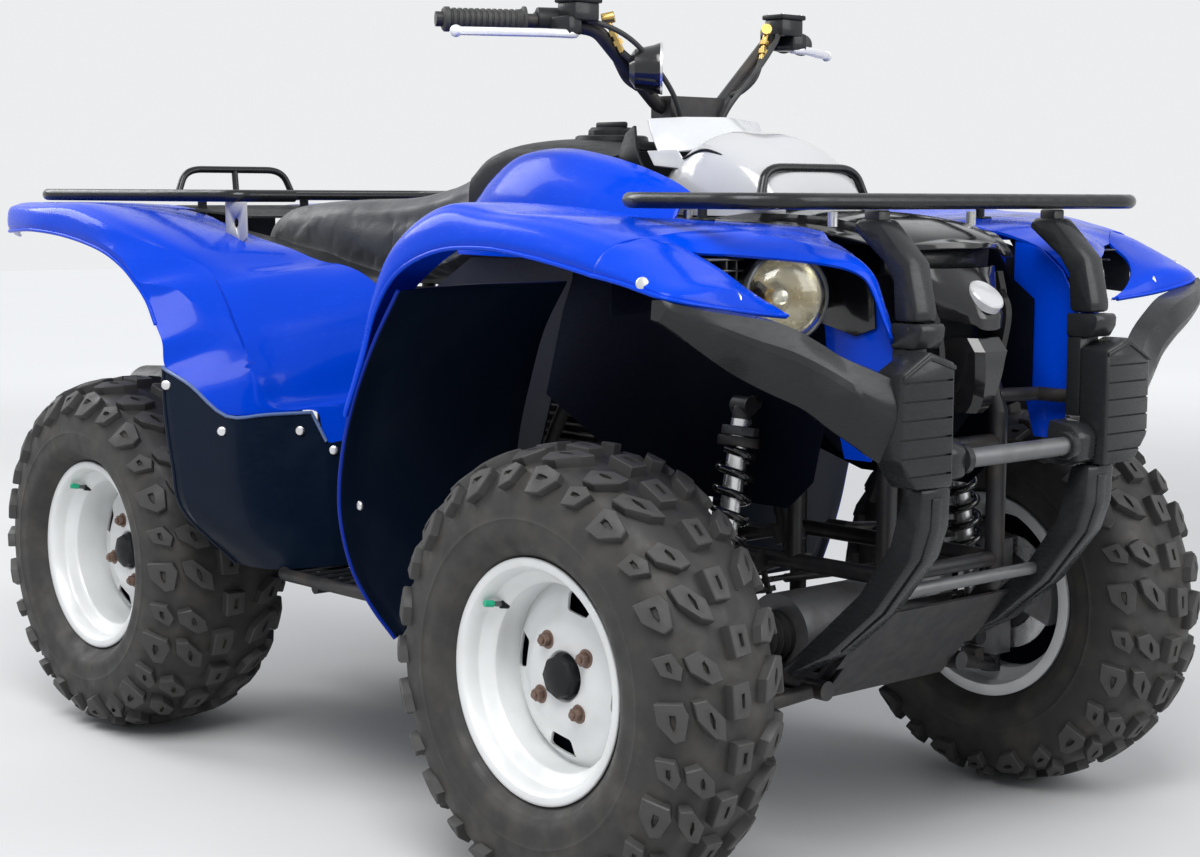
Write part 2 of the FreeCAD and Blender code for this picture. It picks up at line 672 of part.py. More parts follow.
def seat():
    rows = []
    for x, w, low, top in ((-600, 150, 832, 888), (-540, 184, 838, 914), (-400, 188, 822, 930),
                           (-240, 168, SEAT_LOW_Z, 934), (-90, 140, 812, 958), (10, 128, 860, 994)):
        rows.append((x, [(w * 0.6, top), (w * 0.92, top - 12), (w, top - 34), (w, low + 12),
                         (w - 12, low)]))
    return hull_loft(rows)


def tank_top():
    rows = []
    for x, w, top in ((10.3, TANK_HALF, 994), (60, TANK_HALF, 1020), (130, TANK_HALF, 1030),
                      (230, TANK_HALF, 1026), (326, TANK_HALF, 1008)):
        rows.append((x, [(w * 0.6, top), (w * 0.92, top - 10), (w, top - 30), (w, 880)]))
    return hull_loft(rows)


def cowl():
    rows = []
    base = 918 + SEAT_GAP
    for x, w, top in ((334, 95, 1030), (391, 122, 1056), (440, 132, 1060), (509, 136, 1034),
                      (570, 124, 1000), (608, 104, 962)):
        rise = top - base
        rows.append((x, [(w * 0.35, top), (w * 0.75, base + rise * 0.88),
                         (w * 0.97, base + rise * 0.6), (w, base)]))
    body = hull_loft(rows)
    well = rod(along_stem(420), along_stem(STEM_LEN + 60), STEM_R + 12)
    bowl = rod(along_stem(STEM_LEN - 28), along_stem(STEM_LEN + 120), 78)
    return body.cut(Part.makeCompound([well])).cut(bowl)


def hood():
    rows = []
    for x, edge, crown in ((452, 915, 918), (570, 911, 918), (675, 908, 918), (800, 900, 908),
                           (868, 880, 886)):
        half = [(HOOD_HALF, edge), (HOOD_HALF - 60, crown)]
        under = [(HOOD_HALF - 60, crown - PANEL_T), (HOOD_HALF, edge - PANEL_T)]
        ring = half + [(-y, z) for y, z in reversed(half)]
        ring += [(-y, z) for y, z in reversed(under)] + under
        pts = [V(x, y, z) for y, z in ring]
        rows.append(Part.makePolygon(pts + pts[:1]))
    return Part.makeLoft(rows, True, True)


def nose():
    """Central front panel: plan outlines stacked in z, hollow at the back."""
    sections = (
        # z, front x, snout half width, shoulder x, shoulder half width
        (881.7, 902, 50, 876, 116),
        (846, 924, 48, 890, 120),
        (800, 952, 38, 900, 104),
        (740, 956, 30, 905, 86),
        (665, 940, 22, 900, 58),
    )

    def shell(inset):
        rows = []
        for z, fx, fw, sx, sw in sections:
            half = [(fx - inset, fw - inset / 2), (sx - inset, sw - inset)]
            back = [(842 - (1 if inset else 0), sw - inset)]
            ring = half + back
            ring = ring + [(a, -b) for a, b in reversed(ring)]
            pts = [V(a, b, z + (0.0 if not inset else (1 if z > 700 else -1))) for a, b in ring]
            rows.append(Part.makePolygon(pts + pts[:1]))
        return Part.makeLoft(rows, True, True)

    body = shell(0).cut(shell(PANEL_T))
    slot = box(870, 960, -78, 78, 850, 868)
    return body.cut(slot)


def footboard():
    base = box(-146, 198, 196, 424, FOOT_Z, FOOT_Z + 6)
    rim_tube = tube([V(-140, 300, FOOT_Z + 10), V(-140, 430, FOOT_Z + 10),
                     V(194, 430, FOOT_Z + 10), V(194, 300, FOOT_Z + 10)], 10, 26)
    ribs = [box(196, 215.4, 290, 310, FOOT_Z + 7, FOOT_Z + 18)]
    for i in range(9):
        x = -110 + i * 36
        ribs.append(box(x, x + 12, 215, 410, FOOT_Z + 5, FOOT_Z + 13))
    return fused([base, rim_tube] + ribs)


def side_cover():
    line = [(-70, 338), (200, 338), (228, 520), (290, 700), (320, 845), (70, 845), (-40, 785),
            (-75, 690), (-66, 500)]
    return prism(line, "xz", 190.3, 193.3)


def tail_panel():
    top = [(-1016, 915), (-930, 920), (-815, 912), (-640, 902)]
    ring = [(-1016, 840)] + top + [(-640, 898), (-815, 908), (-930, 916), (-1012, 911),
                                   (-1012, 840)]
    plate = prism(ring, "xz", SEAT_GAP - TAIL_HALF, TAIL_HALF - SEAT_GAP)
    feet = [Part.makeCylinder(12, 40, V(-860, s * 119, 895)) for s in (-1, 1)]
    return plate.cut(Part.makeCompound(feet))


def exhaust():
    can = rod(V(-930, -205, 560), V(-645, -205, 576), 48)
    outlet = rod(V(-962, -205, 558), V(-925, -205, 560), 17)
    pipe = tube([V(-650, -205, 576), V(-604, -159, 585), V(-340, -159, 600),
                 V(-200, -140, 600), V(-200, -140, 560.3)], 16, 34)
    return fused([can, outlet, pipe])


def control_cables():
    path = [V(360, 205, 1202), V(396, 168, 1192), V(408, 98, 1128), V(398, 50, 1080),
            V(393, 40, 1050)]
    return pair(tube(path, 4, 40).cut(controls()).cut(bar_half()))


# Racks, bumper, lamps
def rack_ring(half):
    """Closed ring of mitred bars from its half outline, starting and ending at y 0."""
    path = half[1:-1] + [V(p.x, -p.y, p.z) for p in reversed(half[1:-1])]
    return mitred(path + path[:1], RACK_R, True)


def front_rack():
    rear, half = FRONT_RACK_REAR, FRONT_RACK_HALF
    ring = rack_ring([V(rear, 0, RACK_Z), V(rear, 366, RACK_Z), V(690, half, RACK_Z),
                      V(880, half, RACK_Z), V(930, 356, RACK_Z), V(930, 0, RACK_Z)])
    top = RACK_Z + RACK_R - RACK_BAR_R
    under = top - 2 * RACK_BAR_R
    bars = [rod(V(rear, y, top), V(930, y, top), RACK_BAR_R) for y in (-250, -120, 120, 250)]
    bars += [rod(V(x, -half, under), V(x, half, under), RACK_BAR_R) for x in (700, 770)]
    bars += mitred([V(rear, -114, RACK_Z), V(622, -66, RACK_Z + 48), V(622, 66, RACK_Z + 48),
                    V(rear, 114, RACK_Z)], RACK_BAR_R - 0.5)
    bars += [rod(V(700, s * 300, 913), V(700, s * 300, under), RACK_BAR_R - 0.5) for s in (-1, 1)]
    return Part.makeCompound(ring + coped(bars, ring))


def rear_rack():
    half = [V(-924, 0, RACK_Z), V(-924, 400, RACK_Z), V(-880, REAR_RACK_HALF, RACK_Z),
            V(-560, 380, RACK_Z), V(-400, 330, RACK_Z), V(-400, 215, RACK_Z)]
    ring = mitred([V(p.x, -p.y, p.z) for p in reversed(half[1:])] + half[1:], RACK_R)
    bars = [rod(V(x, -w, RACK_Z), V(x, w, RACK_Z), RACK_BAR_R) for x, w in ((-640, 390), (-780, 411))]
    bars += [rod(V(-924, y, RACK_Z), V(-640, y, RACK_Z), RACK_BAR_R - 0.4)
             for y in (-230, -108, 108, 230)]
    bars += mitred([V(-924, -134, RACK_Z), V(-930, -95, RACK_Z + 52), V(-930, 95, RACK_Z + 52),
                    V(-924, 134, RACK_Z)], RACK_BAR_R)
    bars.append(rod(V(-924, 0, RACK_Z), V(-930, 0, RACK_Z + 52), RACK_BAR_R - 0.6))
    bars += [rod(V(-860, s * 120, 861.2), V(-860, s * 118, RACK_Z), 9) for s in (-1, 1)]
    return Part.makeCompound(ring + coped(bars, ring))


def bumper_pillars():
    top = RACK_Z - RACK_R - SEAT_GAP
    line = [(888, 903), (893, top), (932, top), (942, 905), (985, 862), (1000, 785), (1010, 783),
            (1010, 768), (1000, 752), (983.7, 752), (983.7, 640), (960, 640), (960, 780), (945, 850)]
    return pair(prism(line, "xz", 167, 213))


def bumper_pads():
    face = [(167, 733), (232, 748), (271, 722), (271, 610), (240, 578), (167, 574)]
    pad = prism(face, "yz", 984, 1032)
    grooves = [box(1027, 1040, 172, 262, 606 + i * 22, 610 + i * 22) for i in range(6)]
    return pair(pad.cut(Part.makeCompound(grooves)))


def bumper_wings():
    rows = []
    for y, tx, top, lx, low in ((271.3, 1000, 722, 990, 612), (350, 980, 764, 960, 655),
                                (430, 960, 800, 930, 700), (510, 935, 814, 905, 756),
                                (578, 900, 818, 892, 794)):
        pts = [V(lx, y, low), V(tx + 6, y, (low + top) / 2), V(tx, y, top), V(tx - 26, y, top),
               V(lx - 24, y, low)]
        rows.append(Part.makePolygon(pts + pts[:1]))
    return pair(Part.makeLoft(rows, True, False))


def bumper_legs():
    line = [(984, 573.7), (1018, 573.7), (1002, 490), (940, 405), (858, 330), (775, 285),
            (775, 300), (845, 360), (915, 425), (966, 500)]
    return pair(prism(line, "xz", 150, 214))


def bumper_tubes():
    bars = [rod(V(1002, -150, 604), V(1002, 150, 604), 13),
            rod(V(925, -150, 418), V(925, 150, 418), 9)]
    ends = [box(988, 1016, 118, 166.7, 582, 626)]
    whole = fused([bars[0], ends[0], mirrored(ends[0])])
    return Part.makeCompound([whole, bars[1]])


def lamp_shells():
    cup = Part.makeCylinder(LAMP_R + 6, 70, V(LAMP_X - 80, LAMP_Y, LAMP_Z), V(1, 0, 0))
    bore = Part.makeCylinder(LAMP_R + SEAT_GAP, 66, V(LAMP_X - 74, LAMP_Y, LAMP_Z), V(1, 0, 0))
    back = prism([(238, 792), (238, 889.4), (452, 889.4), (470, 872), (350, 800)], "yz", 804, 808)
    slots = [box(800, 812, LAMP_Y + 66, LAMP_Y + 66 + w, z, z + 6) for w, z in LAMP_SLOTS]
    return pair(cup.fuse(back).cut(Part.makeCompound([bore] + slots)))


def lamp_lenses():
    body = Part.makeCylinder(LAMP_R, 60, V(LAMP_X - 70, LAMP_Y, LAMP_Z), V(1, 0, 0))
    ball = Part.makeSphere(90, V(LAMP_X - 84, LAMP_Y, LAMP_Z))
    return pair(body.common(ball))


def save(name, shape):
    """Write one piece, lifted from the body's datum so that the tyres stand on the ground."""
    shape = shape if shape.ShapeType in ("Solid", "Compound") else solids_of(shape)
    shape = shape.translated(V(0, 0, TYRE_R - AXLE_Z))
    bad = [s for s in shape.Solids if not s.isValid() or s.Volume <= 0]
    print(name, len(shape.Solids), "solids", "%.0f cm3" % (shape.Volume / 1000),
          "BAD %d" % len(bad) if bad or not shape.Solids else "")
    shape.exportStep("parts/" + name + ".step")


def main():
    os.makedirs("parts", exist_ok=True)
    wheel_plan = (
        # end, x, tyre width, rim half, rim y, disc y, hub face y, brake disc y
        ("front", FRONT_AXLE_X, FRONT_TYRE_W, FRONT_RIM_HALF, FRONT_RIM_Y, FRONT_DISC_Y,
         KNUCKLE_FACE_Y + RUN_GAP, KNUCKLE_FACE_Y + 6),
        ("rear", REAR_AXLE_X, REAR_TYRE_W, REAR_RIM_HALF, REAR_RIM_Y, REAR_DISC_Y,
         REAR_CARRIER_Y + RUN_GAP, REAR_CARRIER_Y + 6),
    )
    for end, x, width, half, y, disc_y, face_y, brake_y in wheel_plan:
        made = (("tyre", tyre(x, y, width, half)), ("rim", rim(x, y, half, disc_y)),
                ("hub", hub(x, face_y, disc_y, brake_y)))
        for kind, shape in made:
            save("%s_%s_left" % (kind, end), shape)
            save("%s_%s_right" % (kind, end), mirrored(shape))
    save("knuckle_left", knuckle())
    save("knuckle_right", mirrored(knuckle()))
    save("tie_rod_left", tie_rod(-14))
    save("tie_rod_right", mirrored(tie_rod(-28)))
    save("handlebar", handlebar())
    save("grips", grips())
    save("levers", levers())
    save("controls", controls())
    save("control_cables", control_cables())

    save("frame", frame())
    save("engine", engine())
    save("skid_plate", skid_plate())
    save("hitch", hitch())
    links = arms(FRONT_AXLE_X, KINGPIN_Y, KNUCKLE_LOW_Z, KINGPIN_Y, KNUCKLE_HIGH_Z,
                 (-130, 130, 0, -94), FRONT_SHOCK_LOW)
    carrier_y = REAR_CARRIER_Y - 20
    links += arms(REAR_AXLE_X, carrier_y, KNUCKLE_LOW_Z, carrier_y, KNUCKLE_HIGH_Z,
                  (-100, 120, 0, -94), REAR_SHOCK_LOW)
    save("wishbones", Part.makeCompound(links + [mirrored(s) for s in links]))
    x = REAR_AXLE_X
    carrier = fused([box(x - 20, x + 20, REAR_CARRIER_Y - 36, REAR_CARRIER_Y,
                         KNUCKLE_LOW_Z, KNUCKLE_HIGH_Z),
                     Part.makeCylinder(42, 50, V(x, REAR_CARRIER_Y - 50, AXLE_Z), V(0, 1, 0))])
    save("rear_carriers", pair(carrier))
    dampers = [shock(FRONT_SHOCK_LOW, FRONT_SHOCK_TOP, 28), shock(REAR_SHOCK_LOW, REAR_SHOCK_TOP, 28)]
    save("shocks", Part.makeCompound(dampers + [mirrored(s) for s in dampers]))
    save("final_drives", Part.makeCompound([final_drive(FRONT_AXLE_X, ENGINE_HALF + SEAT_GAP),
                                            final_drive(REAR_AXLE_X, -ENGINE_HALF - SEAT_GAP)]))
    shafts = [half_shaft(FRONT_AXLE_X, 380), half_shaft(REAR_AXLE_X, REAR_CARRIER_Y - 50)]
    save("half_shafts", Part.makeCompound(shafts + [mirrored(s) for s in shafts]))

    shell = rear_shell()
    blue = shell.cut(guard_cutter(0))
    guard = shell.common(guard_cutter(1))
    save("rear_fenders", pair(blue))
    save("leg_guards", pair(guard))
    parts, blade = front_fenders()
    save("front_fenders", pair(fused(parts + [blade])))
    save("front_liners", pair(shell_from(FRONT_LINER, FRONT_AXLE_X, PANEL_T)))
    save("tank_panels", pair(tank_panel()))
    save("side_covers", pair(side_cover()))
    save("tail_panel", tail_panel())
    save("tail_lamp", box(-1030, -1016 - SEAT_GAP, -56, 56, 850, 890))
    save("exhaust", exhaust())
    save("seat", seat())
    save("tank_top", tank_top())
    save("cowl", cowl())
    save("hood", hood())
    save("nose", nose())
    save("footboards", pair(footboard()))
    save("front_rack", front_rack())
    save("rear_rack", rear_rack())
    save("bumper_pillars", bumper_pillars())
    save("bumper_pads", bumper_pads())
    save("bumper_wings", bumper_wings())
    save("bumper_legs", bumper_legs())
    save("bumper_tubes", bumper_tubes())
    save("lamp_shells", lamp_shells())
    save("lamp_lenses", lamp_lenses())


main()
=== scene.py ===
"""Looks of a blue utility quad bike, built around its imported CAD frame."""

import logging
import math
from dataclasses import dataclass
from enum import Enum

import bmesh
import bpy
import numpy as np
from mathutils import Matrix, Vector


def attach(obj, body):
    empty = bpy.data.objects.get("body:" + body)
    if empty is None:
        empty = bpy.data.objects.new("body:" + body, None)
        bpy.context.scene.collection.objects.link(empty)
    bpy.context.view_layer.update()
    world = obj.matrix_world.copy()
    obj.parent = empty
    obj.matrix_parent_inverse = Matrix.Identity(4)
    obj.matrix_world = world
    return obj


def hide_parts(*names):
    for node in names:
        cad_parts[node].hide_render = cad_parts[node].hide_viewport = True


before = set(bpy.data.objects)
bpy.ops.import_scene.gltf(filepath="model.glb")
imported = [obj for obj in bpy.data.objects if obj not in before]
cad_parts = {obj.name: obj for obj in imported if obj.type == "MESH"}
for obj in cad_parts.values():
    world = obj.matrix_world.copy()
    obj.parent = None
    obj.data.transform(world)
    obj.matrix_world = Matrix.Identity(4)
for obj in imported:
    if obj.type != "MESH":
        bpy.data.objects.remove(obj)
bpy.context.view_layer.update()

LOG = logging.getLogger("quad_bike")
MM = 0.001
TYRE_R = 311.0
AXLE_Z = 311.0
FRONT_X = 654.0
REAR_X = -596.0
WHEELS = ("front_left", "front_right", "rear_left", "rear_right")
SIDES = ("left", "right")
BACKDROP = (0.84, 0.85, 0.86, 1)
SKY = (0.42, 0.44, 0.47, 1)

Point = tuple[float, float, float]
Colour = tuple[float, float, float]
Line = list[tuple[float, float]]
Rows = list[list[Point]]
Obj = bpy.types.Object
Socket = bpy.types.NodeSocket


class Side(Enum):
    """Side of the vehicle, as the sign of y."""

    LEFT = 1
    RIGHT = -1


class Slot(Enum):
    """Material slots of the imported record."""

    RUBBER = "rubber"
    STEEL = "silver_steel"
    BLUE = "blue_plastic"
    BLACK = "black_plastic"
    NAVY = "navy_plastic"
    GREY = "grey_plastic"
    FRAME = "black_steel"
    CAST = "dark_cast"
    BRIGHT = "bright_metal"
    SEAT = "seat_vinyl"
    CLEAR = "clear_lens"
    RED = "red_lens"


# Finishes


class Shader:
    """A node tree around one principled shader, built a line at a time."""

    def __init__(self, name: str) -> None:
        """Start a material.

        Args:
            name: The material's name.
        """
        self.material = bpy.data.materials.new(name)
        self.material.use_nodes = True
        self.tree = self.material.node_tree
        self.surface = self.tree.nodes["Principled BSDF"]
        self.place = self.node("ShaderNodeTexCoord").outputs["Object"]

    def node(self, kind: str, **options: object) -> bpy.types.Node:
        """Add a node and set its options.

        Args:
            kind: Blender's name of the node type.
            **options: Attributes to set on it.

        Returns:
            The new node.
        """
        made = self.tree.nodes.new(kind)
        for key, value in options.items():
            setattr(made, key, value)
        return made

    def link(self, source: Socket, target: Socket) -> None:
        """Join two sockets."""
        self.tree.links.new(source, target)

    def noise(self, scale: float, detail: float = 4.0, stretch: Point = (1, 1, 1)) -> Socket:
        """Noise on object coordinates.

        Args:
            scale: Cycles per metre.
            detail: Octaves of finer noise.
            stretch: Factor on each axis.

        Returns:
            The noise's value.
        """
        made = self.node("ShaderNodeTexNoise")
        made.inputs["Scale"].default_value = scale
        made.inputs["Detail"].default_value = detail
        place = self.place
        if stretch != (1, 1, 1):
            mapping = self.node("ShaderNodeMapping")
            mapping.inputs["Scale"].default_value = stretch
            self.link(place, mapping.inputs["Vector"])
            place = mapping.outputs["Vector"]
        self.link(place, made.inputs["Vector"])
        return made.outputs["Fac"]

    def cells(self, scale: float, feature: str = "F1") -> Socket:
        """Distance field of a cell pattern on object coordinates."""
        made = self.node("ShaderNodeTexVoronoi", feature=feature)
        made.inputs["Scale"].default_value = scale
        self.link(self.place, made.inputs["Vector"])
        return made.outputs["Distance"]

    def ramp(self, source: Socket, low: float, high: float,
             first: Colour | float, last: Colour | float) -> Socket:
        """Two-stop ramp.

        Args:
            source: Value that drives the ramp.
            low: Place of the first stop.
            high: Place of the last stop.
            first: Colour or grey at the first stop.
            last: Colour or grey at the last stop.

        Returns:
            The ramp's colour.
        """
        made = self.node("ShaderNodeValToRGB")
        stops = made.color_ramp.elements
        for stop, at, value in ((stops[0], low, first), (stops[1], high, last)):
            stop.position = at
            rgb = value if isinstance(value, tuple) else (value, value, value)
            stop.color = (*rgb, 1.0)
        self.link(source, made.inputs["Fac"])
        return made.outputs["Color"]

    def mix(self, factor: Socket, first: object, second: object) -> Socket:
        """Mix two colours.

        Args:
            factor: Share of the second colour.
            first: Socket or colour.
            second: Socket or colour.

        Returns:
            The mixed colour.
        """
        made = self.node("ShaderNodeMix", data_type="RGBA")
        self.link(factor, made.inputs["Factor"])
        for socket, value in ((made.inputs[6], first), (made.inputs[7], second)):
            if isinstance(value, tuple):
                socket.default_value = (*value, 1.0)
            else:
                self.link(value, socket)
        return made.outputs[2]

    def bump(self, height: Socket, strength: float, depth: float) -> None:
        """Stack a bump on the shader's normal.

        Args:
            height: Height field from 0 to 1.
            strength: Share of the bump that shows.
            depth: Height in metres.
        """
        made = self.node("ShaderNodeBump")
        made.inputs["Strength"].default_value = strength
        made.inputs["Distance"].default_value = depth
        self.link(height, made.inputs["Height"])
        below = self.surface.inputs["Normal"]
        if below.is_linked:
            self.link(below.links[0].from_socket, made.inputs["Normal"])
        self.link(made.outputs["Normal"], below)

    def edges(self) -> Socket:
        """Mask that is bright along pointy outer edges, where a highlight is painted."""
        made = self.node("ShaderNodeNewGeometry")
        return self.ramp(made.outputs["Pointiness"], 0.505, 0.56, 0.0, 1.0)

    def clouds(self, scale: float, detail: float, low: float, high: float, first: Colour | float,
               last: Colour | float, stretch: Point = (1, 1, 1)) -> Socket:
        """Noise through a two-stop ramp, with the arguments of both."""
        return self.ramp(self.noise(scale, detail, stretch), low, high, first, last)

    def put(self, values: dict[str, object]) -> None:
        """Set sockets of the principled shader to constants or to other sockets."""
        for name, value in values.items():
            if isinstance(value, Socket):
                self.link(value, self.surface.inputs[name])
            else:
                self.surface.inputs[name].default_value = value


def scaled(colour: Colour, factor: float) -> Colour:
    """Lighter or darker colour."""
    return tuple(c * factor for c in colour)


@dataclass(frozen=True)
class Plastic:
    """Moulded plastic, from gloss to grained.

    Attributes:
        name: Name of the finish.
        colour: Base colour.
        dust: Colour of the thin dust that lies on it.
        rough: Roughness where it is clean.
        coat: Clear gloss on top.
        grain: Height of the moulded grain in metres.
        worn: Share of dust and wear.
        shine: Strength of its plain reflection.
    """

    name: str
    colour: Colour
    dust: Colour
    rough: float
    coat: float = 0.0
    grain: float = 0.0
    worn: float = 0.25
    shine: float = 0.5

    def build(self) -> bpy.types.Material:
        """Make the material."""
        shader = Shader(self.name)
        tone = shader.clouds(3.0, 5, 0.35, 0.75, self.colour, scaled(self.colour, 0.86))
        film = shader.clouds(9.0, 8, 0.52, 0.82, 0.0, self.worn)
        scuff = shader.clouds(60.0, 6, 0.45, 0.8, self.rough, min(1.0, self.rough + 0.16),
                              (1, 1, 3))
        shader.put({"Base Color": shader.mix(film, tone, self.dust), "Roughness": scuff,
                    "Specular IOR Level": self.shine, "Coat Weight": self.coat,
                    "Coat Roughness": 0.06})
        if self.grain:
            shader.bump(shader.cells(900.0), 0.5, self.grain)
            shader.bump(shader.noise(260.0, 3), 0.3, self.grain)
        else:
            shader.bump(shader.noise(14.0, 2), 0.15, 0.0012)
        return shader.material


@dataclass(frozen=True)
class Metal:
    """Bare, cast or painted metal.

    Attributes:
        name: Name of the finish.
        colour: Base colour.
        stain: Colour of dirt and rust in its pores.
        metallic: Metallic share.
        rough: Roughness where it is clean.
        grime: Share of stain.
        cast: Height of the casting's skin in metres.
    """

    name: str
    colour: Colour
    stain: Colour
    metallic: float
    rough: float
    grime: float = 0.3
    cast: float = 0.0

    def build(self) -> bpy.types.Material:
        """Make the material."""
        shader = Shader(self.name)
        tone = shader.clouds(7.0, 5, 0.3, 0.8, self.colour, scaled(self.colour, 0.82))
        dirt = shader.clouds(26.0, 9, 0.5, 0.78, 0.0, self.grime)
        rough = shader.clouds(48.0, 6, 0.35, 0.8, self.rough, min(1.0, self.rough + 0.22))
        shader.put({"Base Color": shader.mix(dirt, tone, self.stain), "Roughness": rough,
                    "Metallic": self.metallic})
        if self.cast:
            shader.bump(shader.noise(420.0, 4), 0.5, self.cast)
        else:
            shader.bump(shader.noise(90.0, 3), 0.12, 0.0004)
        return shader.material


@dataclass(frozen=True)
class Rubber:
    """Tyre or grip rubber with dust in its low places."""

    name: str
    colour: Colour
    dust: Colour
    dusty: float

    def build(self) -> bpy.types.Material:
        """Make the material."""
        shader = Shader(self.name)
        tone = shader.clouds(11.0, 6, 0.3, 0.75, self.colour, scaled(self.colour, 1.5))
        film = shader.clouds(17.0, 10, 0.46, 0.8, 0.0, self.dusty)
        # pointy outer edges painted 2.4 times lighter: a painted highlight; the dust film is noise
        lit = shader.mix(shader.edges(), shader.mix(film, tone, self.dust),
                         scaled(self.colour, 2.4))
        shader.put({"Base Color": lit, "Roughness": shader.clouds(35.0, 6, 0.3, 0.8, 0.5, 0.82)})
        shader.bump(shader.noise(320.0, 5), 0.35, 0.0007)
        return shader.material


@dataclass(frozen=True)
class Vinyl:
    """Seat vinyl with a fine pebbled grain."""

    name: str
    colour: Colour

    def build(self) -> bpy.types.Material:
        """Make the material."""
        shader = Shader(self.name)
        tone = shader.clouds(5.0, 5, 0.3, 0.8, self.colour, scaled(self.colour, 1.7))
        rough = shader.clouds(22.0, 5, 0.3, 0.8, 0.42, 0.62)
        shader.put({"Base Color": tone, "Roughness": rough, "Sheen Weight": 0.15})
        shader.bump(shader.cells(620.0, "SMOOTH_F1"), 0.55, 0.0006)
        shader.bump(shader.noise(40.0, 4), 0.2, 0.0015)
        return shader.material


@dataclass(frozen=True)
class Glass:
    """Clear or tinted lamp glass."""

    name: str
    colour: Colour
    clear: float

    def build(self) -> bpy.types.Material:
        """Make the material."""
        shader = Shader(self.name)
        tint = shader.clouds(30.0, 3, 0.3, 0.8, self.colour, scaled(self.colour, 0.9))
        shader.put({"Base Color": tint, "Transmission Weight": self.clear, "Roughness": 0.03,
                    "IOR": 1.45})
        shader.bump(shader.noise(55.0, 2), 0.08, 0.0004)
        return shader.material


FINISHES = (Plastic("gloss_blue", (0.0, 0.052, 0.62), (0.01, 0.08, 0.45), 0.2, 0.12, 0.0, 0.06,
                    0.08),
            # painted_shade_blue: the blue plastic at half its brightness, painted shade for parts
            # deep in the arches
            Plastic("painted_shade_blue", (0.002, 0.022, 0.30), (0.03, 0.05, 0.2), 0.35, 0.05, 0.0, 0.15,
                    0.15),
            # painted_edge_highlight: light blue-grey that paints the reflection on a guard's
            # rounded top edge
            Plastic("painted_edge_highlight", (0.10, 0.16, 0.34), (0.2, 0.22, 0.3), 0.15, 0.6, 0.0, 0.1),
            Plastic("guard_navy", (0.003, 0.008, 0.020), (0.03, 0.04, 0.055), 0.3, 0.05, 0.0, 0.2,
                    0.15),
            Plastic("dark_plastic", (0.010, 0.011, 0.013), (0.06, 0.058, 0.054), 0.42, 0.0,
                    0.00018, 0.25, 0.2),
            Plastic("guard_grey", (0.017, 0.018, 0.020), (0.10, 0.10, 0.095), 0.25, 0.12, 0.00006,
                    0.25, 0.2),
            Plastic("bracket_grey", (0.42, 0.42, 0.42), (0.3, 0.29, 0.27), 0.35, 0.1, 0.0, 0.2),
            Plastic("cowl_gloss", (0.52, 0.525, 0.535), (0.42, 0.42, 0.42), 0.14, 0.5, 0.0, 0.2),
            # collar plastic: pale grey, made lighter than the cowl as a painted reflection of the
            # sky
            Plastic("collar_pale_painted_reflection", (0.62, 0.63, 0.64), (0.48, 0.48, 0.47), 0.2, 0.3, 0.0, 0.2),
            # painted_shade_black: near-black sheets where there is only shade, behind the vents,
            # inside the arches, beside the lamps and in the front bay
            Plastic("painted_shade_black", (0.001, 0.002, 0.007), (0.01, 0.01, 0.012), 0.7, 0.0, 0.0, 0.3,
                    0.06),
            Plastic("nose_gloss", (0.010, 0.010, 0.011), (0.06, 0.06, 0.06), 0.14, 0.45, 0.0, 0.12,
                    0.3),
            Metal("rim_silver", (0.80, 0.81, 0.81), (0.42, 0.40, 0.35), 0.2, 0.32, 0.10),
            Metal("frame_black", (0.014, 0.014, 0.016), (0.10, 0.075, 0.05), 0.1, 0.4, 0.35),
            Metal("rack_black", (0.022, 0.023, 0.025), (0.08, 0.075, 0.07), 0.55, 0.2, 0.15),
            Metal("cast_alloy", (0.30, 0.30, 0.31), (0.09, 0.075, 0.06), 0.75, 0.48, 0.5, 0.0006),
            Metal("dark_alloy", (0.07, 0.07, 0.075), (0.10, 0.08, 0.06), 0.5, 0.45, 0.45, 0.0005),
            Metal("bright_metal", (0.75, 0.75, 0.76), (0.3, 0.28, 0.24), 0.95, 0.22, 0.15),
            Metal("lever_white", (0.86, 0.86, 0.87), (0.4, 0.38, 0.34), 0.3, 0.25, 0.1),
            Metal("lamp_mirror", (0.93, 0.90, 0.82), (0.7, 0.62, 0.5), 0.7, 0.2, 0.1),
            Metal("nut_brown", (0.22, 0.15, 0.12), (0.10, 0.05, 0.03), 0.7, 0.45, 0.6),
            Metal("tube_steel", (0.16, 0.165, 0.17), (0.09, 0.08, 0.07), 0.7, 0.38, 0.35),
            Metal("brass_fitting", (0.55, 0.38, 0.12), (0.2, 0.12, 0.05), 0.95, 0.3, 0.25),
            Rubber("tyre_rubber", (0.017, 0.0165, 0.016), (0.085, 0.075, 0.062), 0.55),
            Rubber("grip_rubber", (0.012, 0.012, 0.012), (0.06, 0.055, 0.05), 0.3),
            Vinyl("seat_vinyl", (0.012, 0.014, 0.017)),
            Glass("lamp_glass", (0.96, 0.95, 0.86), 1.0),
            Glass("tail_red", (0.45, 0.008, 0.006), 0.3),
            Plastic("cap_green", (0.0, 0.42, 0.22), (0.05, 0.3, 0.2), 0.3, 0.3, 0.0, 0.1),)
FINISH = {f.name: f.build() for f in FINISHES}

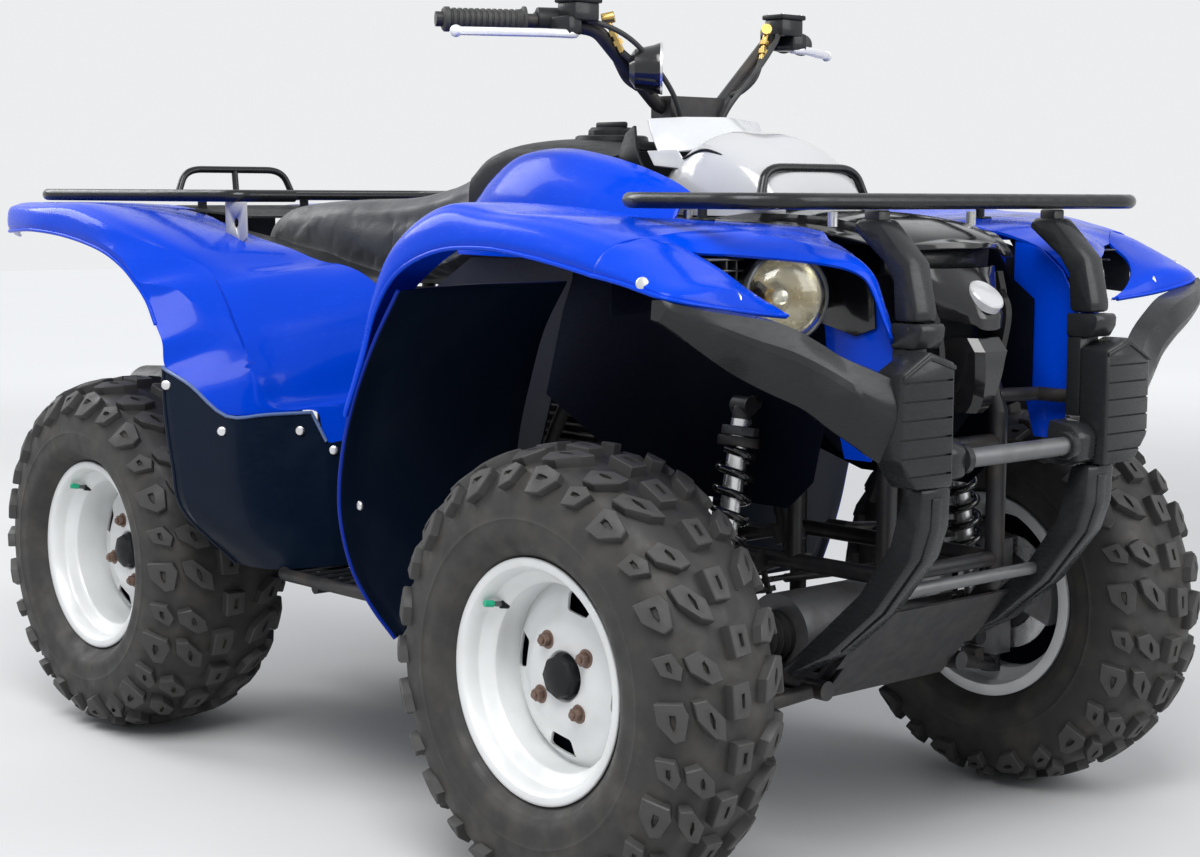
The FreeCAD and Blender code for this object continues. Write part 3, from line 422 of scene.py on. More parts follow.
NODE_FINISH = {
    "gloss_blue": ("rear_fenders", "front_fenders", "tank_panels"),
    "guard_navy": ("leg_guards", "front_liners"),
    "dark_plastic": ("tank_top", "hood", "side_covers", "tail_panel", "controls",
                     "control_cables", "footboards"),
    "guard_grey": ("bumper_pillars", "bumper_pads", "bumper_wings", "bumper_legs"),
    "cowl_gloss": ("cowl",),
    "nose_gloss": ("nose", "lamp_shells"),
    "rim_silver": tuple(f"rim_{wheel}" for wheel in WHEELS),
    "frame_black": ("frame", "hitch", "wishbones", "skid_plate", "handlebar", "shocks", "exhaust",
                    "half_shafts", *(f"tie_rod_{side}" for side in SIDES)),
    "rack_black": ("front_rack", "rear_rack"),
    "cast_alloy": ("engine", "final_drives", "rear_carriers",
                   *(f"knuckle_{side}" for side in SIDES)),
    "dark_alloy": tuple(f"hub_{wheel}" for wheel in WHEELS),
    "bright_metal": ("levers",),
    "tube_steel": ("bumper_tubes",),
    "tyre_rubber": tuple(f"tyre_{wheel}" for wheel in WHEELS),
    "grip_rubber": ("grips",),
    "seat_vinyl": ("seat",),
    "lamp_glass": ("lamp_lenses",),
    "tail_red": ("tail_lamp",),
}


def dress_nodes() -> None:
    """Give every carried CAD node its finish."""
    for finish, names in NODE_FINISH.items():
        for name in names:
            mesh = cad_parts[name].data
            mesh.materials.clear()
            mesh.materials.append(FINISH[finish])


# Shaping


def spline(points: np.ndarray, steps: int, hard: tuple[int, ...] = ()) -> np.ndarray:
    """Smooth curve through points, with corners where it is told.

    Args:
        points: Rows of coordinates.
        steps: Divisions of each span.
        hard: Indices of points that stay corners.

    Returns:
        The finer rows, the given points among them.
    """
    pts = np.asarray(points, float)
    last = len(pts) - 1
    made = []
    for i in range(last):
        a, b = pts[i], pts[i + 1]
        before = pts[i - 1] if i > 0 and i not in hard else 2 * a - b
        after = pts[i + 2] if i + 2 <= last and i + 1 not in hard else 2 * b - a
        for k in range(steps):
            t = k / steps
            made.append(0.5 * (2 * a + (b - before) * t
                               + (2 * before - 5 * a + 4 * b - after) * t * t
                               + (3 * a - before - 3 * b + after) * t ** 3))
    made.append(pts[-1])
    return np.array(made)


def surface(sections: Rows, along: int, across: int,
            hard_along: tuple[int, ...] = (), hard_across: tuple[int, ...] = ()) -> np.ndarray:
    """Grid of points through sections that all have the same number of points.

    Args:
        sections: Sections in millimetres.
        along: Divisions between two sections.
        across: Divisions between two points of a section.
        hard_along: Sections that stay a corner.
        hard_across: Points that stay a crease.

    Returns:
        Array of rows by columns by three, in metres.
    """
    coarse = np.array(sections, float) * MM
    finer = np.stack([spline(coarse[:, k], along, hard_along) for k in range(coarse.shape[1])], 1)
    return np.stack([spline(row, across, hard_across) for row in finer])


def grid_faces(rows: int, columns: int, ring: bool = False,
               tube: bool = False) -> list[tuple[int, ...]]:
    """Quads of a grid whose points are stored row by row.

    Args:
        rows: Number of rows.
        columns: Points in a row.
        ring: Whether the last row joins the first.
        tube: Whether a row's last point joins its first.

    Returns:
        The faces.
    """
    faces = []
    for i in range(rows if ring else rows - 1):
        for k in range(columns if tube else columns - 1):
            a, b = i * columns, (i + 1) % rows * columns
            n = (k + 1) % columns
            faces.append((a + k, a + n, b + n, b + k))
    return faces


def placed(name: str, data: bpy.types.ID) -> Obj:
    """New object in the scene that holds some data."""
    obj = bpy.data.objects.new(name, data)
    bpy.context.scene.collection.objects.link(obj)
    return obj


def make(name: str, verts: object, faces: list, finish: str, sharp: float = 35.0) -> Obj:
    """Object from points and faces, smooth up to an angle.

    Args:
        name: Name of the piece.
        verts: Points in metres.
        faces: Faces as index tuples.
        finish: Name of its finish.
        sharp: Angle in degrees past which an edge stays sharp.

    Returns:
        The new object.
    """
    mesh = bpy.data.meshes.new(name)
    mesh.from_pydata([tuple(map(float, v)) for v in verts], [], faces)
    mesh.validate()
    mesh.materials.append(FINISH[finish])
    obj = placed(name, mesh)
    soften(obj, sharp)
    return obj


def soften(obj: Obj, sharp: float = 35.0) -> None:
    """Shade an object smooth up to an angle in degrees."""
    obj.data.shade_smooth()
    obj.data.set_sharp_from_angle(angle=math.radians(sharp))


def outward(obj: Obj) -> None:
    """Merge doubles and point a closed mesh's faces outwards."""
    work = bmesh.new()
    work.from_mesh(obj.data)
    bmesh.ops.remove_doubles(work, verts=work.verts, dist=1e-6)
    bmesh.ops.recalc_face_normals(work, faces=work.faces)
    work.to_mesh(obj.data)
    work.free()


def applied(obj: Obj) -> Obj:
    """Turn an object's modifiers into its mesh."""
    bpy.context.view_layer.update()
    graph = bpy.context.evaluated_depsgraph_get()
    mesh = bpy.data.meshes.new_from_object(obj.evaluated_get(graph))
    obj.modifiers.clear()
    obj.data = mesh
    return obj


def modified(obj: Obj, kind: str, **options: object) -> Obj:
    """Run one modifier on an object and keep the result as its mesh.

    Args:
        obj: The object.
        kind: Blender's name of the modifier type.
        **options: Attributes to set on it.

    Returns:
        The same object.
    """
    tool = obj.modifiers.new(kind.lower(), kind)
    for key, value in options.items():
        setattr(tool, key, value)
    return applied(obj)


def moved(obj: Obj, place: Point, *turns: tuple[float, str]) -> Obj:
    """Turn an object's mesh about the origin and carry it to its place.

    Args:
        obj: The object.
        place: Where its origin goes, in millimetres.
        *turns: Angles in degrees with their axes, the last one first.

    Returns:
        The same object.
    """
    whole = Matrix.Translation(Vector(place) * MM)
    for angle, axis in turns:
        whole = whole @ Matrix.Rotation(math.radians(angle), 4, axis)
    obj.data.transform(whole)
    return obj


def bevelled(obj: Obj, width: float, angle: float = 40.0, rounds: int = 2,
             sharp: float = 35.0) -> Obj:
    """Round an object's sharp edges.

    Args:
        obj: The object.
        width: Width of the round in millimetres.
        angle: Edges past this angle are rounded.
        rounds: Segments of the round.
        sharp: Shading angle afterwards.

    Returns:
        The same object.
    """
    modified(obj, "BEVEL", width=width * MM, segments=rounds, limit_method="ANGLE",
             angle_limit=math.radians(angle))
    soften(obj, sharp)
    return obj


def thickened(obj: Obj, thickness: float, width: float = 1.2) -> Obj:
    """Give a sheet its wall, on its inner side, and round its edges.

    Args:
        obj: The sheet.
        thickness: Wall in millimetres.
        width: Width of the edges' round in millimetres.

    Returns:
        The same object.
    """
    modified(obj, "SOLIDIFY", thickness=thickness * MM, offset=-1, use_even_offset=True)
    return bevelled(obj, width, 50.0)


def cut(obj: Obj, cutter: Obj) -> Obj:
    """Cut an object with another, which is used up."""
    modified(obj, "BOOLEAN", operation="DIFFERENCE", object=cutter, solver="EXACT")
    bpy.data.objects.remove(cutter)
    return obj


def joined(name: str, parts: list[Obj]) -> Obj:
    """Join objects to one, which keeps each part's finishes."""
    materials, verts, faces, slots, sharp = [], [], [], [], set()
    for part in parts:
        start = len(verts)
        mesh = part.data
        order = []
        for m in mesh.materials:
            if m not in materials:
                materials.append(m)
            order.append(materials.index(m))
        verts += [tuple(v.co) for v in mesh.vertices]
        faces += [tuple(start + i for i in p.vertices) for p in mesh.polygons]
        slots += [order[p.material_index] if order else 0 for p in mesh.polygons]
        sharp |= {tuple(sorted(start + i for i in e.vertices)) for e in mesh.edges
                  if e.use_edge_sharp}
    mesh = bpy.data.meshes.new(name)
    mesh.from_pydata(verts, [], faces)
    for m in materials:
        mesh.materials.append(m)
    mesh.polygons.foreach_set("material_index", slots)
    mesh.shade_smooth()
    for e in mesh.edges:
        e.use_edge_sharp = tuple(sorted(e.vertices)) in sharp
    for part in parts:
        bpy.data.objects.remove(part)
    return placed(name, mesh)


def mirrored(obj: Obj) -> Obj:
    """Copy of an object on the vehicle's other side, faces outwards."""
    mesh = obj.data.copy()
    mesh.transform(Matrix.Scale(-1, 4, (0, 1, 0)))
    mesh.flip_normals()
    return placed(obj.name + "_twin", mesh)


def both_sides(name: str, obj: Obj) -> Obj:
    """Join an object and its mirror image to one piece."""
    return joined(name, [obj, mirrored(obj)])


def lathe(name: str, profile: Line, place: tuple[float, float], finish: str,
          segments: int = 96, closed: bool = True, sharp: float = 30.0) -> Obj:
    """Turn a profile about an axle that runs along y.

    Args:
        name: Name of the piece.
        profile: Points of (y, radius) in millimetres.
        place: The axle's x and z in millimetres.
        finish: Name of its finish.
        segments: Divisions round the axle.
        closed: Whether the profile's ends are joined.
        sharp: Shading angle.

    Returns:
        The new object.
    """
    verts = []
    for i in range(segments):
        a = math.tau * i / segments
        verts += [((place[0] + r * math.cos(a)) * MM, y * MM, (place[1] + r * math.sin(a)) * MM)
                  for y, r in profile]
    obj = make(name, verts, grid_faces(segments, len(profile), True, closed), finish, sharp)
    outward(obj)
    soften(obj, sharp)
    return obj


def prism(name: str, outline: Line, plane: str, low: float, high: float,
          finish: str, width: float = 0.0) -> Obj:
    """Straight-sided block over an outline.

    Args:
        name: Name of the piece.
        outline: Points in the plane, in millimetres.
        plane: Which plane: xy, xz or yz.
        low: Lower end across the plane.
        high: Upper end across the plane.
        finish: Name of its finish.
        width: Round of its edges in millimetres.

    Returns:
        The new object.
    """
    def point(a: float, b: float, c: float) -> Point:
        """Point of the plane at height c, in metres."""
        order = {"xy": (a, b, c), "xz": (a, c, b), "yz": (c, a, b)}[plane]
        return (order[0] * MM, order[1] * MM, order[2] * MM)

    n = len(outline)
    verts = [point(a, b, c) for c in (low, high) for a, b in outline]
    faces = [tuple(range(n)), tuple(range(n, 2 * n))]
    faces += [(i, (i + 1) % n, n + (i + 1) % n, n + i) for i in range(n)]
    obj = make(name, verts, faces, finish)
    outward(obj)
    return bevelled(obj, width) if width else obj


def pipe(name: str, points: list[Point], radius: float, finish: str, smooth: bool = True,
         sides: int = 20, steps: int = 8) -> Obj:
    """Round bar or hose along points, with closed ends.

    Args:
        name: Name of the piece.
        points: Its centre line in millimetres.
        radius: Its radius in millimetres.
        finish: Name of its finish.
        smooth: Whether the line is a spline through the points.
        sides: Divisions round it.
        steps: Divisions of each span.

    Returns:
        The new object.
    """
    line = np.array(points, float)
    line = spline(line, steps) if smooth else line
    ways = np.gradient(line, axis=0)
    ways /= np.linalg.norm(ways, axis=1)[:, None]
    side = np.cross(ways[0], (0.0, 0.0, 1.0))
    if np.linalg.norm(side) < 0.1:
        side = np.cross(ways[0], (0.0, 1.0, 0.0))
    verts = []
    for p, way in zip(line, ways):
        side = side - way * side.dot(way)
        side /= np.linalg.norm(side)
        up = np.cross(way, side)
        for k in range(sides):
            a = math.tau * k / sides
            verts.append((p + radius * (math.cos(a) * side + math.sin(a) * up)) * MM)
    faces = grid_faces(len(line), sides, False, True)
    faces += [tuple(range(sides)), tuple(range(len(verts) - sides, len(verts)))]
    obj = make(name, verts, faces, finish, 50)
    outward(obj)
    soften(obj, 50)
    return obj


# Geometry Nodes


class Repeater:
    """Geometry Nodes trees that repeat one shape."""

    def __init__(self) -> None:
        """Build the two trees."""
        self.ring_tree = self.start("ring_of_copies", "Turn")
        self.row_tree = self.start("row_of_copies", "Step")

    def start(self, name: str, rule: str) -> bpy.types.NodeTree:
        """Build a tree that sets copies round an axle or along a line.

        Args:
            name: Name of the tree.
            rule: Turn for a ring about y, Step for a straight row.

        Returns:
            The tree.
        """
        tree = bpy.data.node_groups.new(name, "GeometryNodeTree")
        sockets = {"Shape": "Geometry", "Count": "Int", "Centre": "Vector", rule: "Vector",
                   "Finish": "Material"}
        for label, kind in sockets.items():
            tree.interface.new_socket(label, in_out="INPUT", socket_type=f"NodeSocket{kind}")
        tree.interface.new_socket("Copies", in_out="OUTPUT", socket_type="NodeSocketGeometry")
        kinds = {"given": "NodeGroupInput", "index": "GeometryNodeInputIndex",
                 "step": "ShaderNodeVectorMath", "total": "ShaderNodeVectorMath",
                 "points": "GeometryNodePoints", "copies": "GeometryNodeInstanceOnPoints",
                 "real": "GeometryNodeRealizeInstances", "coat": "GeometryNodeSetMaterial",
                 "result": "NodeGroupOutput"}
        nodes = {label: tree.nodes.new(kind) for label, kind in kinds.items()}
        nodes["step"].operation = "SCALE"
        nodes["total"].operation = "ADD"
        links = [("given", rule, "step", "Vector"), ("index", "Index", "step", "Scale"),
                 ("given", "Count", "points", "Count"), ("points", "Points", "copies", "Points"),
                 ("given", "Shape", "copies", "Instance"),
                 ("copies", "Instances", "real", "Geometry"),
                 ("real", "Geometry", "coat", "Geometry"), ("given", "Finish", "coat", "Material"),
                 ("coat", "Geometry", "result", "Copies")]
        if rule == "Turn":
            links += [("given", "Centre", "points", "Position"),
                      ("step", "Vector", "copies", "Rotation")]
        else:
            links += [("step", "Vector", "total", 0), ("given", "Centre", "total", 1),
                      ("total", "Vector", "points", "Position")]
        for source, leaving, target, entering in links:
            tree.links.new(nodes[source].outputs[leaving], nodes[target].inputs[entering])
        return tree

    def apply(self, obj: Obj, tree: bpy.types.NodeTree, values: dict) -> Obj:
        """Run a tree on an object and keep the result as its mesh.

        Args:
            obj: The shape to repeat, about the origin.
            tree: The tree.
            values: Inputs by name.

        Returns:
            The same object.
        """
        tool = obj.modifiers.new("copies", "NODES")
        tool.node_group = tree
        for item in tree.interface.items_tree:
            if item.in_out == "INPUT" and item.name in values:
                tool[item.identifier] = values[item.name]
        obj.update_tag()
        return applied(obj)

    def ring(self, obj: Obj, count: int, centre: Point, finish: str) -> Obj:
        """Copies of a shape round an axle along y.

        Args:
            obj: The shape, its axle through the origin.
            count: Number of copies.
            centre: The axle's place in millimetres.
            finish: Name of the finish.

        Returns:
            The object with all its copies.
        """
        values = {"Count": count, "Centre": [c * MM for c in centre],
                  "Turn": [0.0, math.tau / count, 0.0], "Finish": FINISH[finish]}
        return self.apply(obj, self.ring_tree, values)

    def row(self, obj: Obj, count: int, start: Point, step: Point, finish: str) -> Obj:
        """Copies of a shape along a straight line.

        Args:
            obj: The shape about the origin.
            count: Number of copies.
            start: Place of the first in millimetres.
            step: Way from one to the next in millimetres.
            finish: Name of the finish.

        Returns:
            The object with all its copies.
        """
        values = {"Count": count, "Centre": [c * MM for c in start],
                  "Step": [c * MM for c in step], "Finish": FINISH[finish]}
        return self.apply(obj, self.row_tree, values)


REPEAT = Repeater()


# Wheels


@dataclass
class Wheel:
    """Tyre, rim and hub of one axle end, built on the left and mirrored to the right."""

    end: str
    x: float
    y: float
    width: float
    rim_half: float
    disc_y: float
    hub_y: float
    turn: float
    rim_r: float = 165.0
    bead_r: float = 152.0
    well_r: float = 130.0
    lug_h: float = 15.0
    periods: int = 13
    nut_pcd: float = 110.0
    cap_r: float = 30.0
    # nuts, and vents between them
    bolts: int = 4
    # width of the tyre on which the tread's pattern is drawn
    pattern_width: float = 203.0
    # radius, height and half width of each ridge on the sidewall
    ridges: tuple = ((218, 1.3, 1.8), (178, 1.6, 2.2))

    @property
    def crown_r(self) -> float:
        """Radius of the carcass under the lugs."""
        return TYRE_R - self.lug_h

    @property
    def axle(self) -> tuple[float, float]:
        """The axle's x and z."""
        return self.x, AXLE_Z

    def carcass_line(self) -> np.ndarray:
        """Half profile of the carcass from the crown to the bead, as (y offset, radius)."""
        h = self.width / 2
        c = self.crown_r
        return np.array([(0, c), (0.40 * h, c - 2), (0.66 * h, c - 9), (0.84 * h, c - 23),
                         (0.94 * h, c - 42), (0.995 * h, c - 66), (h, c - 88), (0.97 * h, c - 108),
                         (self.rim_half - 3, self.rim_r + 4),
                         (self.rim_half - 8.5, self.rim_r - 1),
                         (self.rim_half - 8.5, self.bead_r)])

    def carcass(self) -> Obj:
        """Smooth closed carcass with ridges on its sidewalls."""
        line = spline(self.carcass_line(), 7, (8, 9))
        rows = []
        for a, r in line:
            rise = sum(h * math.exp(-((r - at) / w) ** 2) for at, h, w in self.ridges)
            rows.append((a + rise, r))
        inner = [(rows[-1][0] - 14, self.bead_r + 2), (0.9 * self.width / 2, 215), (0, 272)]
        half = [(self.y + a, r) for a, r in rows]
        other = [(2 * self.y - a, r) for a, r in half[1:]]
        inside = [(self.y + a, r) for a, r in inner[:-1]]
        profile = (half[::-1] + other + [(2 * self.y - a, r) for a, r in inside]
                   + [(self.y, 272)] + inside[::-1])
        return lathe("carcass", profile, self.axle, "tyre_rubber", 160)

    def on_tread(self, line: np.ndarray, lengths: np.ndarray, s: float, w: float,
                 h: float) -> Point:
        """Point of the tread about the axle.

        Args:
            line: Finer half profile.
            lengths: Length along it from the crown.
            s: Distance round the tyre at its crown.
            w: Distance from the crown across it, either side.
            h: Height over the carcass.

        Returns:
            The point in metres, with the axle at the origin.
        """
        at = min(abs(w), lengths[-1] - 1)
        a = np.interp(at, lengths, line[:, 0])
        r = np.interp(at, lengths, line[:, 1])
        ahead = [np.interp(at + 1, lengths, line[:, k]) - now for k, now in ((0, a), (1, r))]
        size = math.hypot(*ahead)
        a -= ahead[1] / size * h
        r += ahead[0] / size * h
        turn = s / self.crown_r
        y = self.y + math.copysign(a, w)
        return (r * math.cos(turn) * MM, y * MM, r * math.sin(turn) * MM)

    def tread(self) -> Obj:
        """Blocks of one period of the pattern, repeated round the tyre."""
        line = spline(self.carcass_line()[:8], 8)
        lengths = np.concatenate([[0], np.cumsum(np.linalg.norm(np.diff(line, axis=0), axis=1))])
        stretch = self.width / self.pattern_width
        period = math.tau * self.crown_r / self.periods
        # share of a period by which a block is set on, then its foot as (s, w)
        blocks = ((0.0, [(25, 116), (25, 84), (10, 78), (-22, 82), (-27, 92), (-4, 112)]),
                  (0.0, [(26, 74), (28, 60), (2, 36), (-26, 33), (-20, 50), (4, 70)]),
                  (0.5, [(17, 112), (19, 90), (-2, 80), (-18, 84), (-8, 104)]),
                  (0.5, [(10, 78), (16, 62), (-4, 42), (-24, 36), (-27, 52), (-8, 74)]),
                  (0.12, [(22, 24), (24, -3), (2, -6), (-20, -2), (-19, 22)]),
                  (0.62, [(21, 14), (20, -14), (-17, -15), (-19, 12)]))
        verts, faces = [], []
        # the two sides are a quarter of a period apart, and middle blocks come once
        for side, slide in ((1, 0.0), (-1, 0.25)):
            for offset, outline in blocks:
                if side > 0 or abs(outline[0][1]) >= 30:
                    self.block(verts, faces, line, lengths,
                               [(s + (offset + slide) * period, side * w * stretch)
                                for s, w in outline])
        obj = make("tread", verts, faces, "tyre_rubber", 25)
        outward(obj)
        REPEAT.ring(obj, self.periods, (self.x, 0, AXLE_Z), "tyre_rubber")
        soften(obj, 25)
        return obj

    def block(self, verts: list, faces: list, line: np.ndarray, lengths: np.ndarray,
              outline: Line) -> None:
        """Add one tapered tread block with a small pit in its face.

        Args:
            verts: Points so far.
            faces: Faces so far.
            line: Finer half profile.
            lengths: Length along it.
            outline: Its foot as (s, w).
        """
        cs = sum(p[0] for p in outline) / len(outline)
        cw = sum(p[1] for p in outline) / len(outline)
        shoulder = max(abs(cw) / self.width * 2 - 0.5, 0)
        top = self.lug_h * (1 - 0.35 * shoulder)
        n = len(outline)
        start = len(verts)
        for share, h in ((1.06, -3.0), (1.0, top - 1.6), (0.93, top), (0.42, top),
                         (0.34, top - 5.0)):
            stretch = 0.45 if share < 0.5 else 1.0
            for s, w in outline:
                verts.append(self.on_tread(line, lengths, cs + (s - cs) * share,
                                           cw + (w - cw) * share * stretch, h))
        for level in range(4):
            for i in range(n):
                j = (i + 1) % n
                a = start + level * n
                faces.append((a + i, a + j, a + n + j, a + n + i))
        faces.append(tuple(range(start + 4 * n, start + 5 * n)))
        faces.append(tuple(range(start + n - 1, start - 1, -1)))

    def rim(self) -> Obj:
        """Pressed steel rim with four vents."""
        w, y, d = self.rim_half, self.y, self.disc_y
        lip = [(w - 9, self.bead_r + 3), (w - 8, self.rim_r - 3), (w - 5, self.rim_r),
               (w - 2, self.rim_r - 1), (w - 1, self.rim_r - 5), (w - 3, self.bead_r),
               (w - 10, self.bead_r - 5), (w - 26, self.bead_r - 7), (w - 31, self.bead_r - 11),
               (w - 36, self.well_r + 2), (w - 42, self.well_r - 3)]
        back = [(-w + 50, self.well_r - 4), (-w + 34, self.bead_r - 7), (-w, self.bead_r - 5),
                (-w, self.rim_r), (-w + 7, self.rim_r), (-w + 7, self.bead_r - 0.5),
                (-w + 34, self.bead_r - 2), (-w + 50, self.well_r), (w - 44, self.well_r),
                (w - 34, self.bead_r - 3)]
        barrel = lathe("barrel", [(y + a, r) for a, r in lip + back], self.axle,
                       "rim_silver", 144)
        bevelled(barrel, 1.2, 30, 2, 30)
        hole = self.cap_r + 2
        face = [(d - 3, hole), (d, hole + 3), (d + 1, 48), (d, 66), (d - 4, 76), (d - 9, 84),
                (d - 12, 96), (d - 15, 108), (d - 21, 116), (d - 27, 121),
                (d - 30, self.well_r - 3)]
        back_face = [(a - 4, r - 1.5) for a, r in face[::-1][:-1]] + [(d - 5, hole)]
        disc = lathe("disc", face + back_face, self.axle, "rim_silver", 144)
        for i in range(self.bolts):
            cutter = prism("vent", [(-19, 86), (19, 86), (27, 110), (-27, 110)], "xz", d - 50,
                           d + 20, "rim_silver", 4.0)
            self.spin(cutter, 360 / self.bolts * (i - 0.5) + self.turn)
            cut(disc, cutter)
        bevelled(disc, 1.5, 35, 2, 40)
        # near-black ring behind the vents: painted shade that shows through them
        shade = lathe("shade", [(d - 33, 62), (d - 33, self.well_r - 5), (d - 36, self.well_r - 5),
                                (d - 36, 62)], self.axle, "painted_shade_black", 96)
        return joined("rim", [barrel, disc, shade])

    def spin(self, obj: Obj, angle: float) -> None:
        """Turn a shape made about the origin by an angle from +x to +z, and set it on the axle."""
        moved(obj, (self.x, 0, AXLE_Z), (-angle, "Y"))

    def nuts(self) -> Obj:
        """Four wheel nuts with their washers."""
        parts = []
        # radius, corners, ends from the disc and edge round: nut, stud and washer
        table = ((9.5, 6, -1, 11, 1.2), (5, 12, 9, 15, 0.8), (13, 20, -3, 1.5, 0.8))
        for r, corners, low, high, width in table:
            outline = [(self.nut_pcd / 2 + r * math.cos(math.tau * k / corners),
                        r * math.sin(math.tau * k / corners)) for k in range(corners)]
            parts.append(prism("nut", outline, "xz", self.disc_y + low, self.disc_y + high,
                               "nut_brown", width))
        nut = moved(joined("nuts", parts), (0, 0, 0), (-self.turn, "Y"))
        REPEAT.ring(nut, self.bolts, (self.x, 0, AXLE_Z), "nut_brown")
        soften(nut, 30)
        return nut

    def hub(self) -> Obj:
        """Hub barrel, cap, nuts and brake disc."""
        d, c = self.disc_y, self.cap_r
        cap = lathe("cap", [(d - 20, 0.1), (d - 20, c), (d + 9, c), (d + 13, c - 2.5),
                            (d + 15, c - 8), (d + 19, 11), (d + 20, 0.1)], self.axle,
                    "dark_plastic", 8, True, 20)
        bevelled(cap, 2.0, 20, 2, 40)
        y = self.hub_y + 6
        # ends, inner and outer radius, finish and divisions: barrel, flange, brake disc and bell
        table = ((self.hub_y, d - 6, 30, 45, "dark_alloy", 48),
                 (d - 13, d - 5.5, 28, 66, "dark_alloy", 48),
                 (y, y + 4, 62, 95, "bright_metal", 72),
                 (y, y + 4, 40, 64, "dark_alloy", 48))
        rings = [lathe("ring", [(low, inner), (low, outer), (high, outer), (high, inner)],
                       self.axle, finish, segments)
                 for low, high, inner, outer, finish, segments in table]
        return joined("hub", [cap, *rings, self.nuts()])

    def valve(self) -> Obj:
        """Valve stem with a green cap, leaning out of the rim."""
        a = math.radians(self.turn + 106)
        foot, tip = (Vector((self.x + r * math.cos(a), self.y + self.rim_half - depth,
                             AXLE_Z + r * math.sin(a))) for r, depth in ((132, 44), (139, 12)))
        # shares of its length, radius, finish and sides: stem, base and cap
        table = ((0, 1, 3.6, "tube_steel", 12), (0, 0.35, 6, "dark_plastic", 14),
                 (0.72, 1.12, 4.8, "cap_green", 14))
        parts = []
        for low, high, r, finish, sides in table:
            ends = [tuple(foot.lerp(tip, share)) for share in (low, high)]
            parts.append(pipe("part", ends, r, finish, False, sides))
        return joined("valve", parts)

    def build(self) -> None:
        """Build both sides and set them in place of the CAD nodes."""
        kinds = {"tyre": joined("tyre", [self.carcass(), self.tread()]),
                 "rim": joined("rim", [self.rim(), self.valve()]), "hub": self.hub()}
        for kind, obj in kinds.items():
            pair = {Side.LEFT: obj, Side.RIGHT: mirrored(obj)}
            for side, piece in pair.items():
                place = f"{self.end}_{side.name.lower()}"
                piece.name = f"{kind}_body_{place}"
                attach(piece, f"wheel_{place}")
                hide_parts(f"{kind}_{place}")
            LOG.info("%s %s: %d faces", self.end, kind, len(obj.data.polygons))


# Sheets


def fanned(rows: tuple, x: float, first: int = 1) -> Rows:
    """Sections that fan round an axle.

    Args:
        rows: Angle in degrees of each section, then radius and y of its points.
        x: The axle's x in millimetres.
        first: Place of the first radius in a row.

    Returns:
        The sections as points in millimetres.
    """
    sections = []
    for row in rows:
        c, s = math.cos(math.radians(row[0])), math.sin(math.radians(row[0]))
        points = zip(row[first::2], row[first + 1::2])
        sections.append([(x + r * c, y, AXLE_Z + r * s) for r, y in points])
    return sections


def whole_width(rows: Rows) -> Rows:
    """Rows from the outer left edge to the centre line, carried on to the right."""
    return [[*row, *((x, -y, z) for x, y, z in reversed(row) if y)] for row in rows]


def creased(sections: Rows, along: int, across: int, creases: tuple[int, ...],
            shares: list[float]) -> np.ndarray:
    """Surface whose creases fade in and out along it.

    Args:
        sections: Sections in millimetres.
        along: Divisions between two sections.
        across: Divisions between two points of a section.
        creases: Points of a section that crease.
        shares: How hard the creases are at each section, from 0 to 1.

    Returns:
        Grid of points in metres.
    """
    soft = surface(sections, along, across)
    hard = surface(sections, along, across, (), creases)
    at = np.arange(len(soft)) / along
    share = np.interp(at, range(len(shares)), shares)
    return soft + (hard - soft) * share[:, None, None]


def sheet(name: str, grid: np.ndarray, finish: str, inside: Point, wall: float = 4.0,
          sharp: float = 24.0) -> Obj:
    """Thin panel over a grid of points.

    Args:
        name: Name of the piece.
        grid: Points in metres, rows by columns.
        finish: Name of its finish.
        inside: A point on its inner side, in millimetres.
        wall: Its thickness in millimetres.
        sharp: Shading angle.

    Returns:
        The new object.
    """
    rows, columns = grid.shape[:2]
    obj = make(name, grid.reshape(-1, 3), grid_faces(rows, columns), finish, sharp)
    inner = Vector(inside) * MM
    if sum(p.normal.dot(p.center - inner) * p.area for p in obj.data.polygons) < 0:
        obj.data.flip_normals()
    thickened(obj, wall)
    soften(obj, sharp)
    return obj


def shell_loft(name: str, sections: Rows, finish: str, along: int = 6, across: int = 3,
               hard: tuple[int, ...] = (), sharp: float = 28.0,
               hard_along: tuple[int, ...] = ()) -> Obj:
    """Closed body through closed sections, capped at both ends.

    Args:
        name: Name of the piece.
        sections: Closed sections in millimetres, their first point not repeated.
        finish: Name of its finish.
        along: Divisions between two sections.
        across: Divisions between two points.
        hard: Points that stay a crease.
        sharp: Shading angle.
        hard_along: Sections that stay a corner.

    Returns:
        The new object.
    """
    n = len(sections[0])
    creases = tuple(k + 1 for k in hard) + ((n + 1,) if 0 in hard else ())
    grid = surface([[s[-1], *s, s[0], s[1]] for s in sections], along, across, hard_along, creases)
    points = grid[:, across:(n + 1) * across]
    columns = n * across
    rows = len(points)
    faces = grid_faces(rows, columns, False, True)
    faces += [tuple(range(columns)), tuple(range((rows - 1) * columns, rows * columns))]
    obj = make(name, points.reshape(-1, 3), faces, finish, sharp)
    outward(obj)
    soften(obj, sharp)
    return obj


def bead(name: str, line: np.ndarray, radius: float, finish: str) -> Obj:
    """Thin round edge along a line of points in metres."""
    return pipe(name, (line / MM).tolist(), radius, finish, False, 10)


def screw(place: Point, way: Point, radius: float, finish: str) -> Obj:
    """Button head of a screw.

    Args:
        place: Its seat in millimetres.
        way: Way that it faces.
        radius: Radius of the head.
        finish: Name of its finish.

    Returns:
        The new object.
    """
    out = Vector(way).normalized()
    foot = Vector(place) - out * 3
    top = Vector(place) + out * radius * 0.45
    head = pipe("screw", [tuple(foot), tuple(top)], radius, finish, False, 18)
    return bevelled(head, radius * 0.35, 40, 3, 50)


